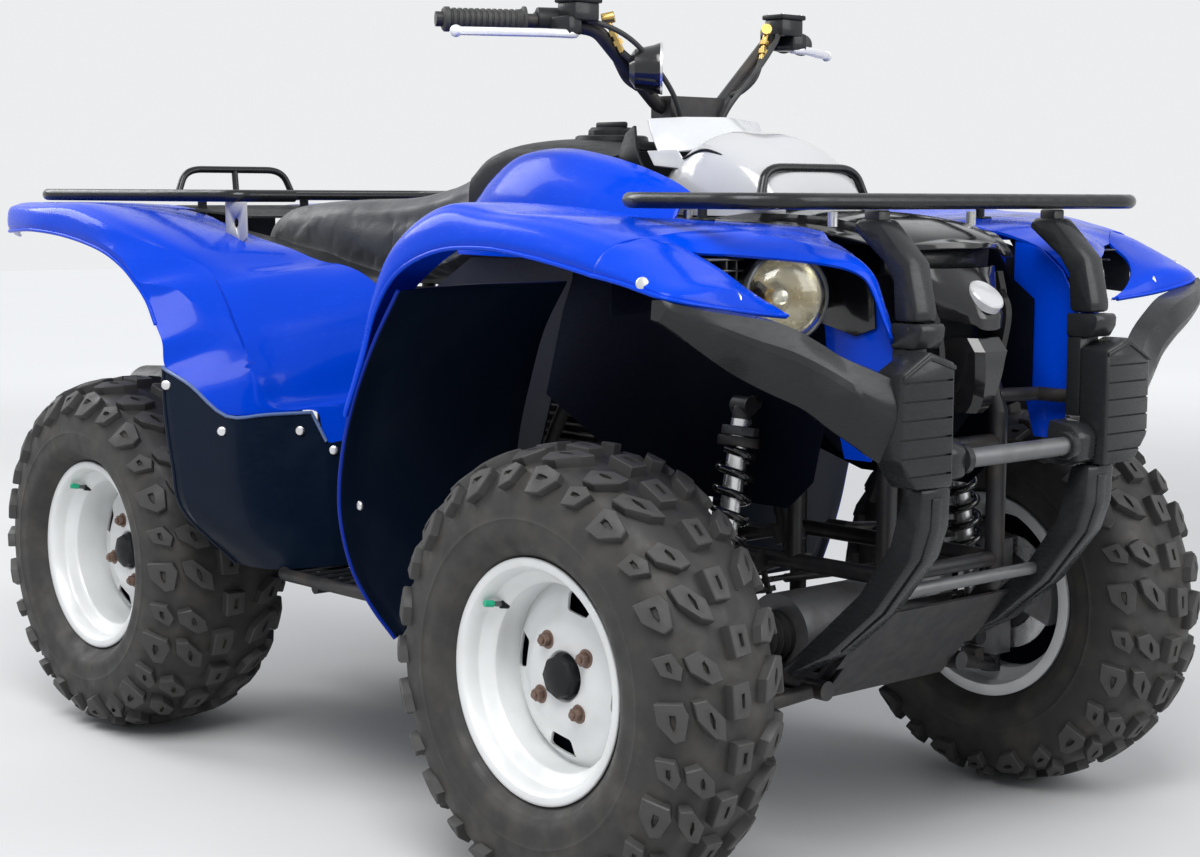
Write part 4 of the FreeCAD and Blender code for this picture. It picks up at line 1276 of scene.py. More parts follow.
def ride(obj: Obj, body: str, node: str) -> None:
    """Set a piece on its body in place of a CAD node."""
    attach(obj, body)
    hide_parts(node)
    LOG.info("%s rides on %s", obj.name, body)


def set_whole(name: str, parts: list[Obj], node: str, body: str = "chassis") -> None:
    """Join parts to one piece and set it in place of a CAD node."""
    ride(joined(name, parts), body, node)


def set_pair(name: str, parts: list[Obj], node: str, body: str = "chassis") -> None:
    """Join parts with their mirror images and set them in place of a CAD node."""
    ride(both_sides(name, joined("side", parts)), body, node)


# Fenders


@dataclass
class RearFender:
    """Rear fender, its pointed side crease, and the dark guard before the wheel."""

    tail: tuple = (((-1028, 418, 862), (-1035, 413, 878), (-1038, 405, 900), (-1036, 393, 913),
                    (-1030, 365, 919), (-1024, 280, 921), (-1020, 152, 917)),
                   ((-930, 477, 869), (-930, 479, 885), (-932, 472, 908), (-932, 458, 919),
                    (-932, 425, 925), (-930, 300, 926), (-930, 152, 921)),
                   ((-826, 527, 877), (-826, 529, 890), (-828, 522, 908), (-829, 508, 917),
                    (-830, 478, 921), (-830, 330, 920), (-830, 152, 913)),)
    # angle, crease, then radius and y from the lip to the inner edge
    fan: tuple = (
        (110, 0.0, 600, 552, 616, 553, 640, 546, 649, 532, 655, 490, 650, 330, 640, 180),
        (98, 0.0, 574, 575, 588, 577, 609, 569, 617, 553, 621, 515, 612, 350, 597, 215),
        (86, 0.0, 562, 575, 577, 577, 601, 570, 610, 554, 615, 512, 601, 370, 581, 260),
        (74, 0.3, 563, 575, 576, 577, 597, 566, 604, 548, 609, 508, 595, 380, 579, 265),
        (66, 1.0, 564, 575, 576, 575, 600, 521, 599, 512, 603, 480, 594, 380, 592, 258),
        (60.5, 1.0, 560, 575, 566, 575, 598, 472, 590, 462, 592, 440, 590, 350, 602, 245),
        (57.6, 1.0, 556, 574, 577, 561, 596, 461, 586, 451, 588, 430, 598, 340, 612, 235),
        (55.4, 1.0, 550, 573, 581, 531, 593, 462, 583, 451, 588, 425, 606, 330, 625, 228),
        (52, 1.0, 538, 573, 574, 513, 585, 462, 576, 451, 584, 415, 608, 325, 640, 220),
        (48.6, 1.0, 528, 572, 565, 495, 576, 463, 568, 452, 578, 410, 610, 315, 648, 212),
        (45.4, 1.0, 503, 570, 559, 474, 566, 459, 561, 451, 574, 403, 611, 308, 650, 206),
        (42.1, 0.3, 507, 556, 553, 457, 555, 454, 554, 450, 566, 398, 604, 302, 642, 203),
        (38, 0.0, 509, 532, 538, 470, 544, 455, 548, 443, 556, 392, 588, 298, 630, 199),
        (34, 0.0, 506, 503, 520, 475, 528, 455, 534, 440, 542, 390, 568, 293, 604, 197),
        (32.1, 0.0, 525, 437, 529, 428, 533, 418, 537, 406, 545, 368, 566, 285, 600, 196),
        (31.2, 0.0, 547, 364, 550, 352, 553, 342, 556, 330, 560, 312, 576, 262, 596, 196),
        (28, 0.0, 538, 352, 541, 342, 544, 332, 547, 322, 551, 303, 566, 256, 584, 195),
        (25.5, 0.0, 531, 342, 534, 333, 537, 324, 540, 314, 544, 297, 558, 252, 574, 194),
    )
    guard: tuple = (
        ((-243, 573, 666), (-234, 571, 661), (-207, 544, 637), (-174, 500, 588), (-151, 437, 588),
         (-128, 367, 589), (-117, 346, 541), (-108, 290, 541), (-102, 196, 541)),
        ((-238, 574, 600), (-226, 571, 595), (-200, 543, 575), (-168, 500, 545), (-146, 437, 540),
         (-124, 367, 535), (-113, 346, 513), (-106, 290, 511), (-100, 196, 511)),
        ((-224, 570, 510), (-211, 565, 505), (-186, 538, 490), (-160, 497, 470), (-138, 437, 455),
         (-118, 366, 445), (-110, 345, 440), (-103, 290, 438), (-98, 196, 438)),
        ((-222, 552, 435), (-206, 546, 427), (-178, 520, 415), (-152, 480, 400), (-132, 425, 388),
         (-114, 362, 382), (-107, 340, 380), (-101, 288, 378), (-96, 196, 378)),
        ((-200, 470, 345), (-186, 462, 341), (-166, 450, 338), (-146, 437, 337), (-128, 418, 337),
         (-110, 360, 337), (-104, 338, 337), (-98, 286, 337), (-94, 196, 337)),
    )
    screws: tuple = ((-233, 574, 640), (-176, 508, 566), (-132, 388, 562), (-113, 336, 528))
    # divisions between two sections, and how many spans of the lip have a round edge
    along: int = 7
    lip_spans: int = 11

    def build(self) -> None:
        """Build both sides."""
        sections = [*self.tail, *fanned(self.fan, REAR_X, 2)]
        shares = [0.0] * len(self.tail) + [row[1] for row in self.fan]
        grid = creased(sections, self.along, 5, (1, 2, 3), shares)
        panel = sheet("panel", grid, "gloss_blue", (-596, 300, 400), 0.7, 20.0)
        lip = grid[:self.lip_spans * self.along + 1, 0]
        edge = bead("edge", lip, 3.2, "gloss_blue")
        # x, edge at the fender as y and z, height towards the seat
        table = ((-650, 245, 896, 880), (-555, 262, 886, 868), (-436, 267, 863, 852),
                 (-355, 260, 848, 842), (-300, 248, 831, 828), (-241, 231, 821, 818),
                 (-167, 215, 793, 806), (-110, 200, 780, 812))
        tray = [[(x, y, z), (x, 200, low), (x, 168, low)] for x, y, z, low in table]
        under = sheet("tray", surface(tray, 5, 4), "dark_plastic", (-400, 180, 500), 3.0, 40)
        set_pair("rear_fender_shells", [panel, edge, under], "rear_fenders")
        guard = surface(self.guard, 6, 4, (), (1, 4, 5, 6))
        parts = [sheet("guard", guard, "guard_navy", (-400, 300, 450), 3.5, 20.0)]
        top = guard[0, :6 * 4 + 1]
        # light bead along the guard's top edge: a painted reflection
        parts.append(bead("top edge", top + np.array([0, 0.001, 0.002]), 3.0, "painted_edge_highlight"))
        parts.append(bead("wheel edge", guard[:, 0], 3.0, "guard_navy"))
        parts += [screw(p, (0.75, 0.6, 0.1), 8, "bright_metal") for p in self.screws]
        set_pair("leg_guard_shells", parts, "leg_guards")


@dataclass
class FrontFender:
    """Front fender with the blade and brow that frame the headlamp, and the mudguard behind."""

    fan: tuple = (
        # angle, radius and y from the lip to the hood
        (141, 508, 575, 512, 575, 516, 574, 519, 572, 522, 569, 524, 563, 525, 556),
        (131, 536, 575, 542, 576, 551, 571, 557, 564, 561, 554, 563, 535, 563, 512),
        (124, 572, 575, 580, 576, 595, 571, 603, 563, 609, 552, 613, 520, 613, 485),
        (117, 592, 575, 603, 577, 625, 571, 639, 559, 648, 538, 655, 465, 655, 385),
        (108, 588, 575, 601, 577, 631, 569, 646, 552, 655, 522, 654, 400, 641, 255),
        (98, 571, 575, 585, 577, 605, 568, 614, 549, 618, 512, 612, 330, 601, 173),
        (88, 556, 575, 571, 577, 591, 566, 601, 547, 608, 508, 605, 330, 597, 173),
        (80, 552, 575, 567, 577, 585, 564, 595, 545, 602, 502, 607, 335, 603, 173),
        (76, 553, 575, 566, 576, 583, 563, 593, 545, 601, 500, 607, 330, 606, 173),
    )
    # from the lower edge to the vent's edge
    blade: tuple = (
        ((788, 575, 848), (791, 576, 860), (795, 563, 877), (798, 545, 886), (800, 500, 894)),
        ((815, 575, 844), (818, 576, 854), (821, 563, 868), (822, 535, 880), (818, 472, 887)),
        ((845, 575, 839), (848, 575, 848), (850, 560, 860), (848, 520, 870), (834, 450, 876)),
        ((880, 573, 831), (883, 572, 838), (886, 555, 845), (888, 505, 850), (874, 436, 854)),
        ((910, 564, 823), (914, 556, 828), (916, 532, 833), (912, 480, 838), (893, 420, 836)),
        ((923, 515, 814), (924, 500, 817), (922, 480, 820), (916, 442, 823), (904, 398, 820)),
        ((922, 440, 804), (921, 430, 806), (919, 416, 807), (915, 400, 808), (909, 376, 808)),
        ((911, 360, 796), (911, 357, 797), (910, 354, 797), (910, 352, 797), (909, 350, 797)),
    )
    # from the headlamp's opening over the top to the nose
    brow: tuple = (
        ((799, 500, 894), (801, 430, 901), (803, 350, 905), (803, 270, 905), (803, 173, 899)),
        ((818, 470, 886), (820, 420, 895), (822, 345, 902), (823, 275, 901), (824, 190, 895)),
        ((834, 448, 876), (836, 400, 888), (838, 345, 898), (840, 275, 896), (842, 202, 888)),
        ((856, 402, 873), (858, 370, 884), (858, 330, 895), (860, 270, 892), (862, 205, 882)),
        ((886, 360, 869), (886, 338, 879), (885, 305, 888), (885, 258, 884), (885, 208, 872)),
        ((918, 310, 863), (914, 295, 870), (908, 272, 875), (906, 245, 876), (904, 210, 860)),
        ((937, 275, 855), (934, 265, 862), (930, 252, 865), (926, 235, 864), (922, 211, 842)),
        ((948, 254, 843), (948, 248, 847), (947, 240, 848), (944, 228, 844), (938, 212, 820)),
        ((954, 244, 825), (955, 240, 827), (955, 234, 827), (953, 224, 820), (948, 212, 796)),
        ((965, 235, 789), (966, 232, 790), (966, 228, 790), (963, 220, 785), (956, 212, 772)),
        ((972, 227, 766), (972, 225, 766), (971, 223, 765), (969, 219, 763), (964, 214, 758)),
    )
    liner: tuple = (
        # angle, radius and y from the outer edge inwards
        (119, 575, 566, 577, 540, 582, 420, 582, 255),
        (128, 540, 570, 546, 545, 552, 420, 552, 250),
        (138, 512, 570, 518, 545, 522, 410, 522, 238),
        (148, 490, 566, 495, 540, 499, 400, 499, 230),
        (158, 468, 558, 472, 530, 476, 390, 476, 224),
        (168, 446, 537, 451, 515, 455, 385, 455, 218),
        (176, 432, 505, 438, 490, 443, 380, 443, 215),
        (183, 424, 468, 428, 455, 431, 370, 431, 215),
    )

    def build(self) -> None:
        """Build both sides."""
        main = surface(fanned(self.fan, FRONT_X), 8, 5)
        parts = [sheet("crown", main, "gloss_blue", (700, 330, 500), 4.0, 24)]
        blade = surface(self.blade, 5, 4)
        parts.append(sheet("blade", blade, "gloss_blue", (800, 420, 780), 4.0, 24))
        brow = surface(self.brow, 5, 4, (), (2,))
        parts.append(sheet("brow", brow, "gloss_blue", (840, 300, 790), 4.0, 18))
        parts.append(bead("lip", np.concatenate([main[:, 0], blade[1:, 0]]), 3.2, "gloss_blue"))
        parts.append(prism("cheek", [(838, 884), (885, 872), (922, 842), (948, 796), (962, 758),
                                     (958, 715), (940, 655), (925, 600), (880, 600), (850, 700),
                                     (838, 800)], "xz", 205, 209, "gloss_blue", 1.0))
        parts += [screw(p, w, 8.5, "bright_metal") for p, w in (
            ((872, 571, 841), (0.35, 0.9, 0.3)), ((912, 452, 821), (0.8, 0.5, 0.35)))]
        set_pair("front_fender_shells", parts, "front_fenders")
        liner = surface(fanned(self.liner, FRONT_X), 6, 5, (), (1,))
        parts = [sheet("mudguard", liner, "guard_navy", (654, 350, 400), 3.5, 24)]
        # edge bead in the darker blue, painted shade inside the arch
        parts.append(bead("edge", liner[:, 0], 3.0, "painted_shade_blue"))
        parts += [screw(p, (-0.2, 1.0, 0.0), 7, "bright_metal")
                  for p in ((262, 552, 500), (330, 470, 480))]
        parts += self.inner_walls()
        set_pair("front_liner_shells", parts, "front_liners")

    def inner_walls(self) -> list[Obj]:
        """Panels that close the arch towards the engine: a near-black wall that paints the shade
        inside the arch, and a pillar in a darker blue that is painted shade.
        """
        wall = prism("wall", [(262, 640), (300, 770), (336, 850), (376, 896), (456, 914),
                              (570, 904), (660, 902), (800, 888), (838, 830), (880, 800),
                              (880, 660), (834, 640), (815, 560), (770, 520), (560, 520),
                              (420, 560)], "xz", 196, 200, "painted_shade_black", 1.0)
        pillar = prism("pillar", [(760, 690), (800, 690), (820, 870), (770, 880)], "xz", 200, 236,
                       "painted_shade_blue", 5.0)
        return [wall, pillar]


# Centre body


def round_about_x(name: str, profile: Line, y: float, z: float, finish: str,
                  segments: int = 64, sharp: float = 30.0) -> Obj:
    """Turn a profile of (x, radius) about a line along x.

    Args:
        name: Name of the piece.
        profile: Points in millimetres.
        y: The line's y.
        z: The line's z.
        finish: Name of its finish.
        segments: Divisions round the line.
        sharp: Shading angle.

    Returns:
        The new object.
    """
    obj = lathe(name, profile, (0, 0), finish, segments, True, sharp)
    for v in obj.data.vertices:
        v.co = Vector((v.co.y, v.co.x + y * MM, v.co.z + z * MM))
    outward(obj)
    soften(obj, sharp)
    return obj


@dataclass
class CentreBody:
    """Tank, cowl, hood and nose."""

    tank: tuple = (
        ((40, 153, 932), (42, 176, 918), (46, 196, 892), (50, 206, 850)),
        ((75, 153, 958), (77, 180, 944), (80, 204, 905), (82, 214, 850)),
        ((113, 153, 985), (114, 185, 970), (116, 213, 922), (118, 222, 850)),
        ((175, 153, 1012), (176, 190, 998), (177, 224, 940), (178, 232, 850)),
        ((259, 153, 1017), (259, 192, 1004), (259, 230, 948), (259, 238, 850)),
        ((340, 153, 1007), (340, 190, 994), (340, 228, 938), (340, 236, 850)),
        ((420, 153, 990), (420, 186, 977), (420, 222, 925), (420, 230, 850)),
        ((492, 153, 968), (492, 180, 956), (492, 210, 910), (492, 218, 850)),
        ((535, 153, 948), (535, 175, 936), (535, 198, 898), (535, 206, 850)),
    )
    tank_top: tuple = ((11, 150, 990), (60, 151, 1020), (130, 151, 1032), (230, 151, 1029),
                       (325, 151, 1011))
    cowl: tuple = (
        # x, half width, top
        (392, 92, 972), (420, 108, 994), (455, 120, 1018), (488, 128, 1036), (515, 131, 1041),
        (550, 129, 1033), (586, 121, 1014), (618, 109, 989), (640, 96, 962), (652, 84, 936),
        (655, 76, 921),
    )
    dome_foot: float = 917.0
    # shares of the dome's half width and rise
    arch: tuple = ((1, 0), (0.985, 0.42), (0.84, 0.8), (0.46, 0.975), (0, 1))
    collar: tuple = (
        # from its top edge to its lower edge
        ((402, 120, 1060), (418, 60, 1064), (450, 0, 1064)),
        ((411, 121, 1037), (443, 62, 1044), (474, 0, 1048)),
        ((424, 119, 1008), (476, 66, 1016), (503, 0, 1029)),
    )
    hood: tuple = (
        # x, edge, edge of the raised centre, crown
        (450, 913, 916, 919), (520, 913, 920, 925), (600, 911, 921, 927), (680, 909, 921, 927),
        (760, 904, 917, 923), (820, 896, 908, 915), (862, 884, 896, 903), (884, 872, 884, 892),
        (893, 862, 872, 880),
    )

    def panels(self) -> None:
        """Blue panels beside the tank and its dark top."""
        grid = surface(self.tank, 6, 5)
        side = sheet("panel", grid, "gloss_blue", (300, 0, 850), 4.0, 30)
        set_pair("tank_panel_shells", [side], "tank_panels")
        rows = []
        for x, w, top in self.tank_top:
            rows.append([(x, w, 885), (x, w, top - 34), (x, w * 0.9, top - 12),
                         (x, w * 0.55, top - 1), (x, 0, top + 3)])
        body = shell_loft("cover", whole_width(rows), "dark_plastic", 5, 4, (0, 8), 35)
        rim = lathe("rim", [(0, 34), (0, 58), (5, 60), (12, 58), (14, 54), (9, 46), (9, 34)],
                    (0, 0), "dark_plastic", 64)
        cap = lathe("cap", [(4, 0.1), (4, 40), (22, 38), (27, 33), (28, 0.1)], (0, 0),
                    "dark_plastic", 12)
        bevelled(cap, 2.0, 25, 2)
        grip = prism("grip", [(-34, -5), (34, -5), (34, 5), (-34, 5)], "xz", 26, 36,
                     "dark_plastic", 3.0)
        for part in (rim, cap, grip):
            moved(part, (190, 0, 1026), (90, "X"))
        set_whole("tank_cover", [body, rim, cap, grip], "tank_top")

    def dome(self) -> None:
        """Cowl round the steering stem with its flaps and key switch."""
        rows = []
        for x, w, top in self.cowl:
            rows.append([(x, w * wide, self.dome_foot + (top - self.dome_foot) * high)
                         for wide, high in self.arch])
        body = shell_loft("dome", whole_width(rows), "cowl_gloss", 6, 5, (0, 8), 40)
        well = pipe("well", [(433, 0, 880), (352, 0, 1100)], 34, "dark_plastic", False, 32)
        cut(body, well)
        soften(body, 40)
        grid = surface(whole_width(self.collar), 5, 5, (), (1, 3))
        # collar in the lighter finish, a painted sky reflection
        parts = [body, sheet("collar", grid, "collar_pale_painted_reflection", (380, 0, 980), 4.0, 22)]
        for s in (1, -1):
            flap = [[(404, s * 124, 1012), (452, s * 108, 1014)],
                    [(424, s * 128, 990), (476, s * 104, 984)]]
            parts.append(sheet("flap", surface(flap, 4, 5), "cowl_gloss", (400, 0, 960), 5.0, 30))
            wing = [[(322, s * 92, 1040), (372, s * 122, 1050)],
                    [(334, s * 118, 1000), (392, s * 132, 1004)],
                    [(352, s * 112, 960), (416, s * 124, 962)]]
            parts.append(sheet("wing", surface(wing, 5, 5), "dark_plastic", (400, 0, 960), 5.0,
                               30))
            seam = [(470, s * 112, 1000), (520, s * 116, 1012), (570, s * 106, 994),
                    (612, s * 90, 968), (640, s * 66, 930)]
            parts.append(pipe("seam", seam, 2.0, "dark_plastic", True, 8))
        pod = prism("pod", [(-58, 0), (58, 0), (66, 28), (40, 52), (-40, 52), (-66, 28)], "xy", 0,
                    18, "dark_plastic", 5.0)
        glass = prism("glass", [(-44, 6), (44, 6), (50, 26), (30, 44), (-30, 44), (-50, 26)], "xy",
                      17, 20, "nose_gloss", 1.5)
        for part in (pod, glass):
            moved(part, (322, 0, 1015), (-32, "Y"), (90, "Z"))
        set_whole("cowl_dome", parts + [pod, glass], "cowl")

    def bonnet(self) -> None:
        """Gloss hood with a raised centre and its front slope."""
        rows = []
        for x, edge, step, crown in self.hood:
            inward = max(0.0, x - 820) * 0.6
            rows.append([(x, 172 - inward, edge), (x, 132 - inward * 0.5, edge + 2),
                         (x, 116 - inward * 0.4, step), (x, 60, crown - 1), (x, 0, crown)])
        grid = surface(whole_width(rows), 5, 4, (), (1, 2, 6, 7))
        parts = [sheet("cover", grid, "nose_gloss", (700, 0, 700), 4.0, 18)]
        parts += [pipe("bolt", [(x, y, 905), (x, y, 925)], 7, "bright_metal", False, 16)
                  for x in (520, 800) for y in (-150, 150)]
        vent = prism("vent", [(560, -84), (660, -84), (650, 84), (570, 84)], "xy", 924, 929,
                     "dark_plastic", 2.0)
        set_whole("hood_cover", parts + [vent], "hood")

    def face(self) -> None:
        """Nose: intake slot, snout with a plain disc, keel and side blades."""
        snout = [
            [(873, 114, 851), (893, 84, 851), (906, 44, 850), (911, 22, 850), (912, 0, 850)],
            [(875, 110, 838), (900, 80, 834), (920, 42, 832), (926, 22, 832), (927, 0, 832)],
            [(877, 101, 813), (912, 68, 810), (940, 36, 808), (947, 22, 808), (948, 0, 808)],
            [(879, 92, 794), (918, 56, 792), (950, 32, 788), (956, 22, 785), (957, 0, 784)],
            [(880, 86, 778), (920, 50, 780), (950, 30, 774), (957, 20, 768), (958, 0, 766)],
        ]
        parts = [sheet("snout", surface(whole_width(snout), 5, 5, (3,), (2, 6)), "nose_gloss",
                       (850, 0, 800), 8.0, 22)]
        lip = [[(866, 118, 884), (872, 84, 888), (878, 40, 890), (880, 0, 891)],
               [(878, 117, 880), (896, 80, 882), (910, 40, 883), (914, 0, 883)],
               [(879, 116, 874), (897, 79, 875), (911, 40, 876), (915, 0, 876)]]
        parts.append(sheet("lip", surface(whole_width(lip), 4, 5, (1,)), "nose_gloss",
                           (850, 0, 860), 4.0, 30))
        disc = lathe("disc", [(-6, 0.1), (-6, 27), (5, 27), (7, 25), (8, 18), (8.4, 0.1)], (0, 0),
                     "cowl_gloss", 64)
        parts.append(moved(disc, (944, 0, 811), (-48, "Y"), (-90, "Z")))
        # height, front and its half width, back and its half width
        table = ((756, 952, 27, 898, 36), (738, 966, 28, 898, 38), (730, 965, 26, 898, 38),
                 (700, 962, 21, 896, 32), (668, 953, 15, 892, 25), (652, 940, 11, 890, 20))
        keel = []
        for z, front, w, back, u in table:
            keel.append([(back, u, z), (front - 12, w + 4, z), (front, w - 4, z)])
        parts.append(shell_loft("keel", whole_width(keel), "nose_gloss", 3, 2, (0, 1, 2, 3, 4, 5),
                                18, (1, 2)))
        # how much deeper each side blade is, then z, x and y along its front edge
        blades = ((0, ((818, 905, 96), (790, 928, 82), (750, 932, 70), (700, 925, 58),
                       (660, 903, 42))),
                  (14, ((842, 884, 118), (800, 902, 106), (750, 905, 92), (700, 896, 76),
                        (664, 880, 58))))
        for s in (1, -1):
            for back, line in blades:
                rows = []
                for z, x, y in line:
                    ring = [(x, y, z), (x - 5, y + 5, z), (x - 26 - back, y + 5, z),
                            (x - 26 - back, y - 6, z), (x - 4, y - 7, z)]
                    rows.append([(a, s * b, c) for a, b, c in ring])
                parts.append(shell_loft("blade", rows, "nose_gloss", 5, 2, (0, 1, 2, 3, 4), 25))
        parts.append(prism("back", [(-116, 884), (116, 884), (108, 800), (88, 740), (60, 660),
                                    (-60, 660), (-88, 740), (-108, 800)], "yz", 852, 862,
                           "dark_plastic", 2.0))
        # shroud: near-black sheet behind the nose, painted shade in the front bay
        parts.append(prism("shroud", [(-180, 880), (180, 880), (180, 640), (120, 594),
                                      (-120, 594), (-180, 640)], "yz", 792, 798, "painted_shade_black",
                           2.0))
        parts.append(prism("mesh", [(-80, 848), (80, 848), (72, 872), (-72, 872)], "yz", 863, 866,
                           "guard_grey", 1.0))
        set_whole("nose_face", parts, "nose")

    def build(self) -> None:
        """Build the centre body."""
        self.panels()
        self.dome()
        self.bonnet()
        self.face()


@dataclass
class Headlamps:
    """Round lamps with their rims, reflectors, slats and dark surrounds."""

    x: float = 885.0
    y: float = 314.0
    z: float = 818.0
    r: float = 54.0
    turn: float = 20.0

    def outwards(self, obj: Obj) -> None:
        """Turn a part of the lamp about the upright line through its middle."""
        middle = Matrix.Translation(((self.x - 30) * MM, self.y * MM, 0))
        obj.data.transform(middle @ Matrix.Rotation(math.radians(self.turn), 4, "Z")
                           @ middle.inverted())

    def build(self) -> None:
        """Build both lamps."""
        x, y, z, r = self.x, self.y, self.z, self.r
        cup = round_about_x("cup", [(x - 80, 20), (x - 72, 34), (x - 55, 50), (x - 25, r + 3),
                                    (x - 8, r + 6), (x - 4, r + 5.5), (x - 3, r + 3),
                                    (x - 5, r + 0.6), (x - 22, r + 0.6), (x - 52, 46),
                                    (x - 69, 30), (x - 75, 18)], y, z, "tube_steel")
        bowl = round_about_x("bowl", [(x - 66, 7), (x - 62, 22), (x - 48, 36), (x - 30, 46),
                                      (x - 14, r - 3.5), (x - 10, r - 1), (x - 8, r - 1),
                                      (x - 8, r + 0.2), (x - 16, r), (x - 32, 48), (x - 50, 38),
                                      (x - 65, 24), (x - 70, 7)], y, z, "lamp_mirror", 64, 60)
        bulb = round_about_x("bulb", [(x - 68, 0.1), (x - 68, 9), (x - 52, 9), (x - 50, 6),
                                      (x - 34, 6), (x - 28, 3), (x - 27, 0.1)], y, z,
                             "brass_fitting", 24)
        hood = round_about_x("bulb hood", [(x - 27, 0.1), (x - 27, 11), (x - 24, 11),
                                           (x - 20, 8), (x - 18, 0.1)], y, z, "bright_metal", 32)
        rows = [[(806, 236, 886), (818, 236, 866), (826, 236, 830), (818, 236, 790)],
                [(806, 330, 889), (815, 330, 868), (820, 330, 828), (814, 330, 788)],
                [(806, 400, 884), (811, 400, 866), (814, 400, 840), (812, 400, 812)],
                [(806, 462, 882), (808, 462, 872), (809, 462, 860), (809, 462, 850)]]
        back = sheet("surround", surface(rows, 5, 5), "nose_gloss", (700, 330, 830), 3.0, 30)
        # screen: near-black sheet beside the lamp, painted shade behind the blade
        outer = [[(808, 455, 878), (809, 455, 850), (809, 455, 806)],
                 [(800, 556, 858), (800, 556, 830), (800, 556, 796)]]
        screen = sheet("screen", surface(outer, 4, 3), "painted_shade_black", (700, 500, 830), 2.0, 30)
        panel = prism("inner", [(806, 786), (812, 880), (860, 866), (905, 850), (930, 812),
                                (934, 776), (900, 764)], "xz", 211, 214, "nose_gloss", 1.0)
        slats = [prism("slat", [(0, -4), (46, -1.5), (46, 1.5), (0, 4)], "xz", 374, 374 + w,
                       "nose_gloss", 1.2) for w in (66, 52, 36)]
        for slat, height in zip(slats, (866, 852, 838)):
            moved(slat, (806, 0, height))
        ribs = [prism("rib", [(820, 832), (850, 834), (850, 868), (820, 872)], "xz", v, v + 4,
                      "guard_grey", 1.0) for v in (384, 402)]
        self.outwards(cup)
        set_pair("lamp_bodies", [cup, back, screen, panel, *slats, *ribs], "lamp_shells")
        dome = [(x - 12, r - 0.5), (x - 1, r - 1), (x + 7, 49), (x + 14, 40), (x + 19, 26),
                (x + 21, 12), (x + 21.5, 0.1)]
        inner = [(a - 3, max(b - 2.2, 0.1)) for a, b in dome[::-1]]
        lens = round_about_x("lens", dome + inner, y, z, "lamp_glass", 72, 60)
        for part in (lens, bowl, bulb, hood):
            self.outwards(part)
        set_pair("lamp_glasses", [lens, bowl, bulb, hood], "lamp_lenses")


@dataclass
class Guard:
    """Front guard: pillars, grooved pads, wings, legs and cross tubes."""

    wing: tuple = (
        # y, back top, top edge, ridge, low edge, low back as x and z
        (576, 894, 822, 911, 823, 917, 812, 906, 797, 892, 799),
        (560, 902, 820, 926, 817, 931, 800, 920, 783, 898, 790),
        (520, 915, 815, 944, 808, 951, 786, 925, 757, 903, 766),
        (470, 928, 806, 961, 800, 967, 765, 926, 730, 904, 740),
        (420, 938, 796, 972, 789, 979, 748, 935, 706, 911, 716),
        (370, 948, 774, 977, 767, 990, 726, 953, 682, 930, 692),
        (335, 956, 756, 984, 748, 1001, 706, 968, 655, 943, 665),
        (300, 970, 740, 999, 732, 1012, 685, 984, 630, 957, 640),
        (271.6, 984, 728, 1012, 719, 1021, 670, 994, 610, 966, 620),
    )

    def build(self) -> None:
        """Build the guard's five nodes."""
        rows = [[(row[k], row[0], row[k + 1]) for k in range(1, 11, 2)] for row in self.wing]
        wing = shell_loft("wing", rows, "guard_grey", 5, 4, (0, 1, 3, 4), 22)
        set_pair("guard_wings", [wing], "bumper_wings")
        upper = prism("pillar", [(888, 904), (896, 917), (930, 917), (943, 905), (986, 862),
                                 (1000, 800), (1000, 786), (962, 786), (958, 840), (942, 862)],
                      "xz", 168, 212, "guard_grey", 6.0)
        block = prism("block", [(960, 784.5), (1008, 784.5), (1011, 779), (1010, 767), (1001, 752),
                                (960, 752)], "xz", 166, 214, "guard_grey", 2.5)
        lower = prism("lower", [(960, 752.5), (983.6, 752.5), (983.6, 640), (960, 640)], "xz", 168,
                      212, "guard_grey", 3.0)
        foot = prism("foot", [(900, 905), (926, 905), (926, 929), (900, 929)], "xz", 178, 202,
                     "frame_black", 3.0)
        set_pair("guard_pillars", [upper, block, lower, foot], "bumper_pillars")
        pad = prism("pad", [(167, 736), (219, 752), (271, 726), (271, 612), (240, 576),
                            (167, 574)], "yz", 984, 1030, "guard_grey", 5.0)
        groove = prism("groove", [(172, -1.3), (276, -1.3), (276, 1.3), (172, 1.3)], "yz", 1025.5,
                       1040, "guard_grey")
        REPEAT.row(groove, 6, (0, 0, 594), (0, 0, 24), "guard_grey")
        cut(pad, groove)
        chevron = prism("chevron", [(168, 732), (219, 748), (270, 722), (270, 717), (219, 741),
                                    (168, 726)], "yz", 1028, 1032, "guard_grey", 1.2)
        soften(pad, 30)
        set_pair("guard_pads", [pad, chevron], "bumper_pads")
        leg = prism("leg", [(984, 573.7), (1016, 573.7), (1014, 520), (1000, 478), (940, 400),
                            (860, 330), (780, 286), (776, 300), (845, 362), (912, 424),
                            (962, 494)], "xz", 151, 213, "guard_grey", 7.0)
        ridge = prism("ridge", [(1015, 560), (1018, 560), (1016, 518), (1002, 475), (942, 397),
                                (865, 332), (862, 338), (938, 406), (996, 480)], "xz", 172, 192,
                      "guard_grey", 2.0)
        set_pair("guard_legs", [leg, ridge], "bumper_legs")
        parts = [pipe("upper", [(1002, -151, 604), (1002, 151, 604)], 13, "tube_steel", False, 40),
                 pipe("lower", [(925, -150, 418), (925, 150, 418)], 9, "tube_steel", False, 32)]
        end = prism("end", [(958, 576), (990, 574), (1016, 582), (1018, 618), (1004, 632),
                            (964, 638)], "xz", 122, 166.5, "guard_grey", 6.0)
        collar = lathe("collar", [(108, 12), (108, 18), (111, 20), (122, 20), (124, 12)],
                       (1002, 604), "guard_grey", 40)
        parts.append(both_sides("ends", joined("end", [end, collar])))
        set_whole("guard_tubes", parts, "bumper_tubes")


# Racks, shocks and other metalwork


COIL_STEPS = 18


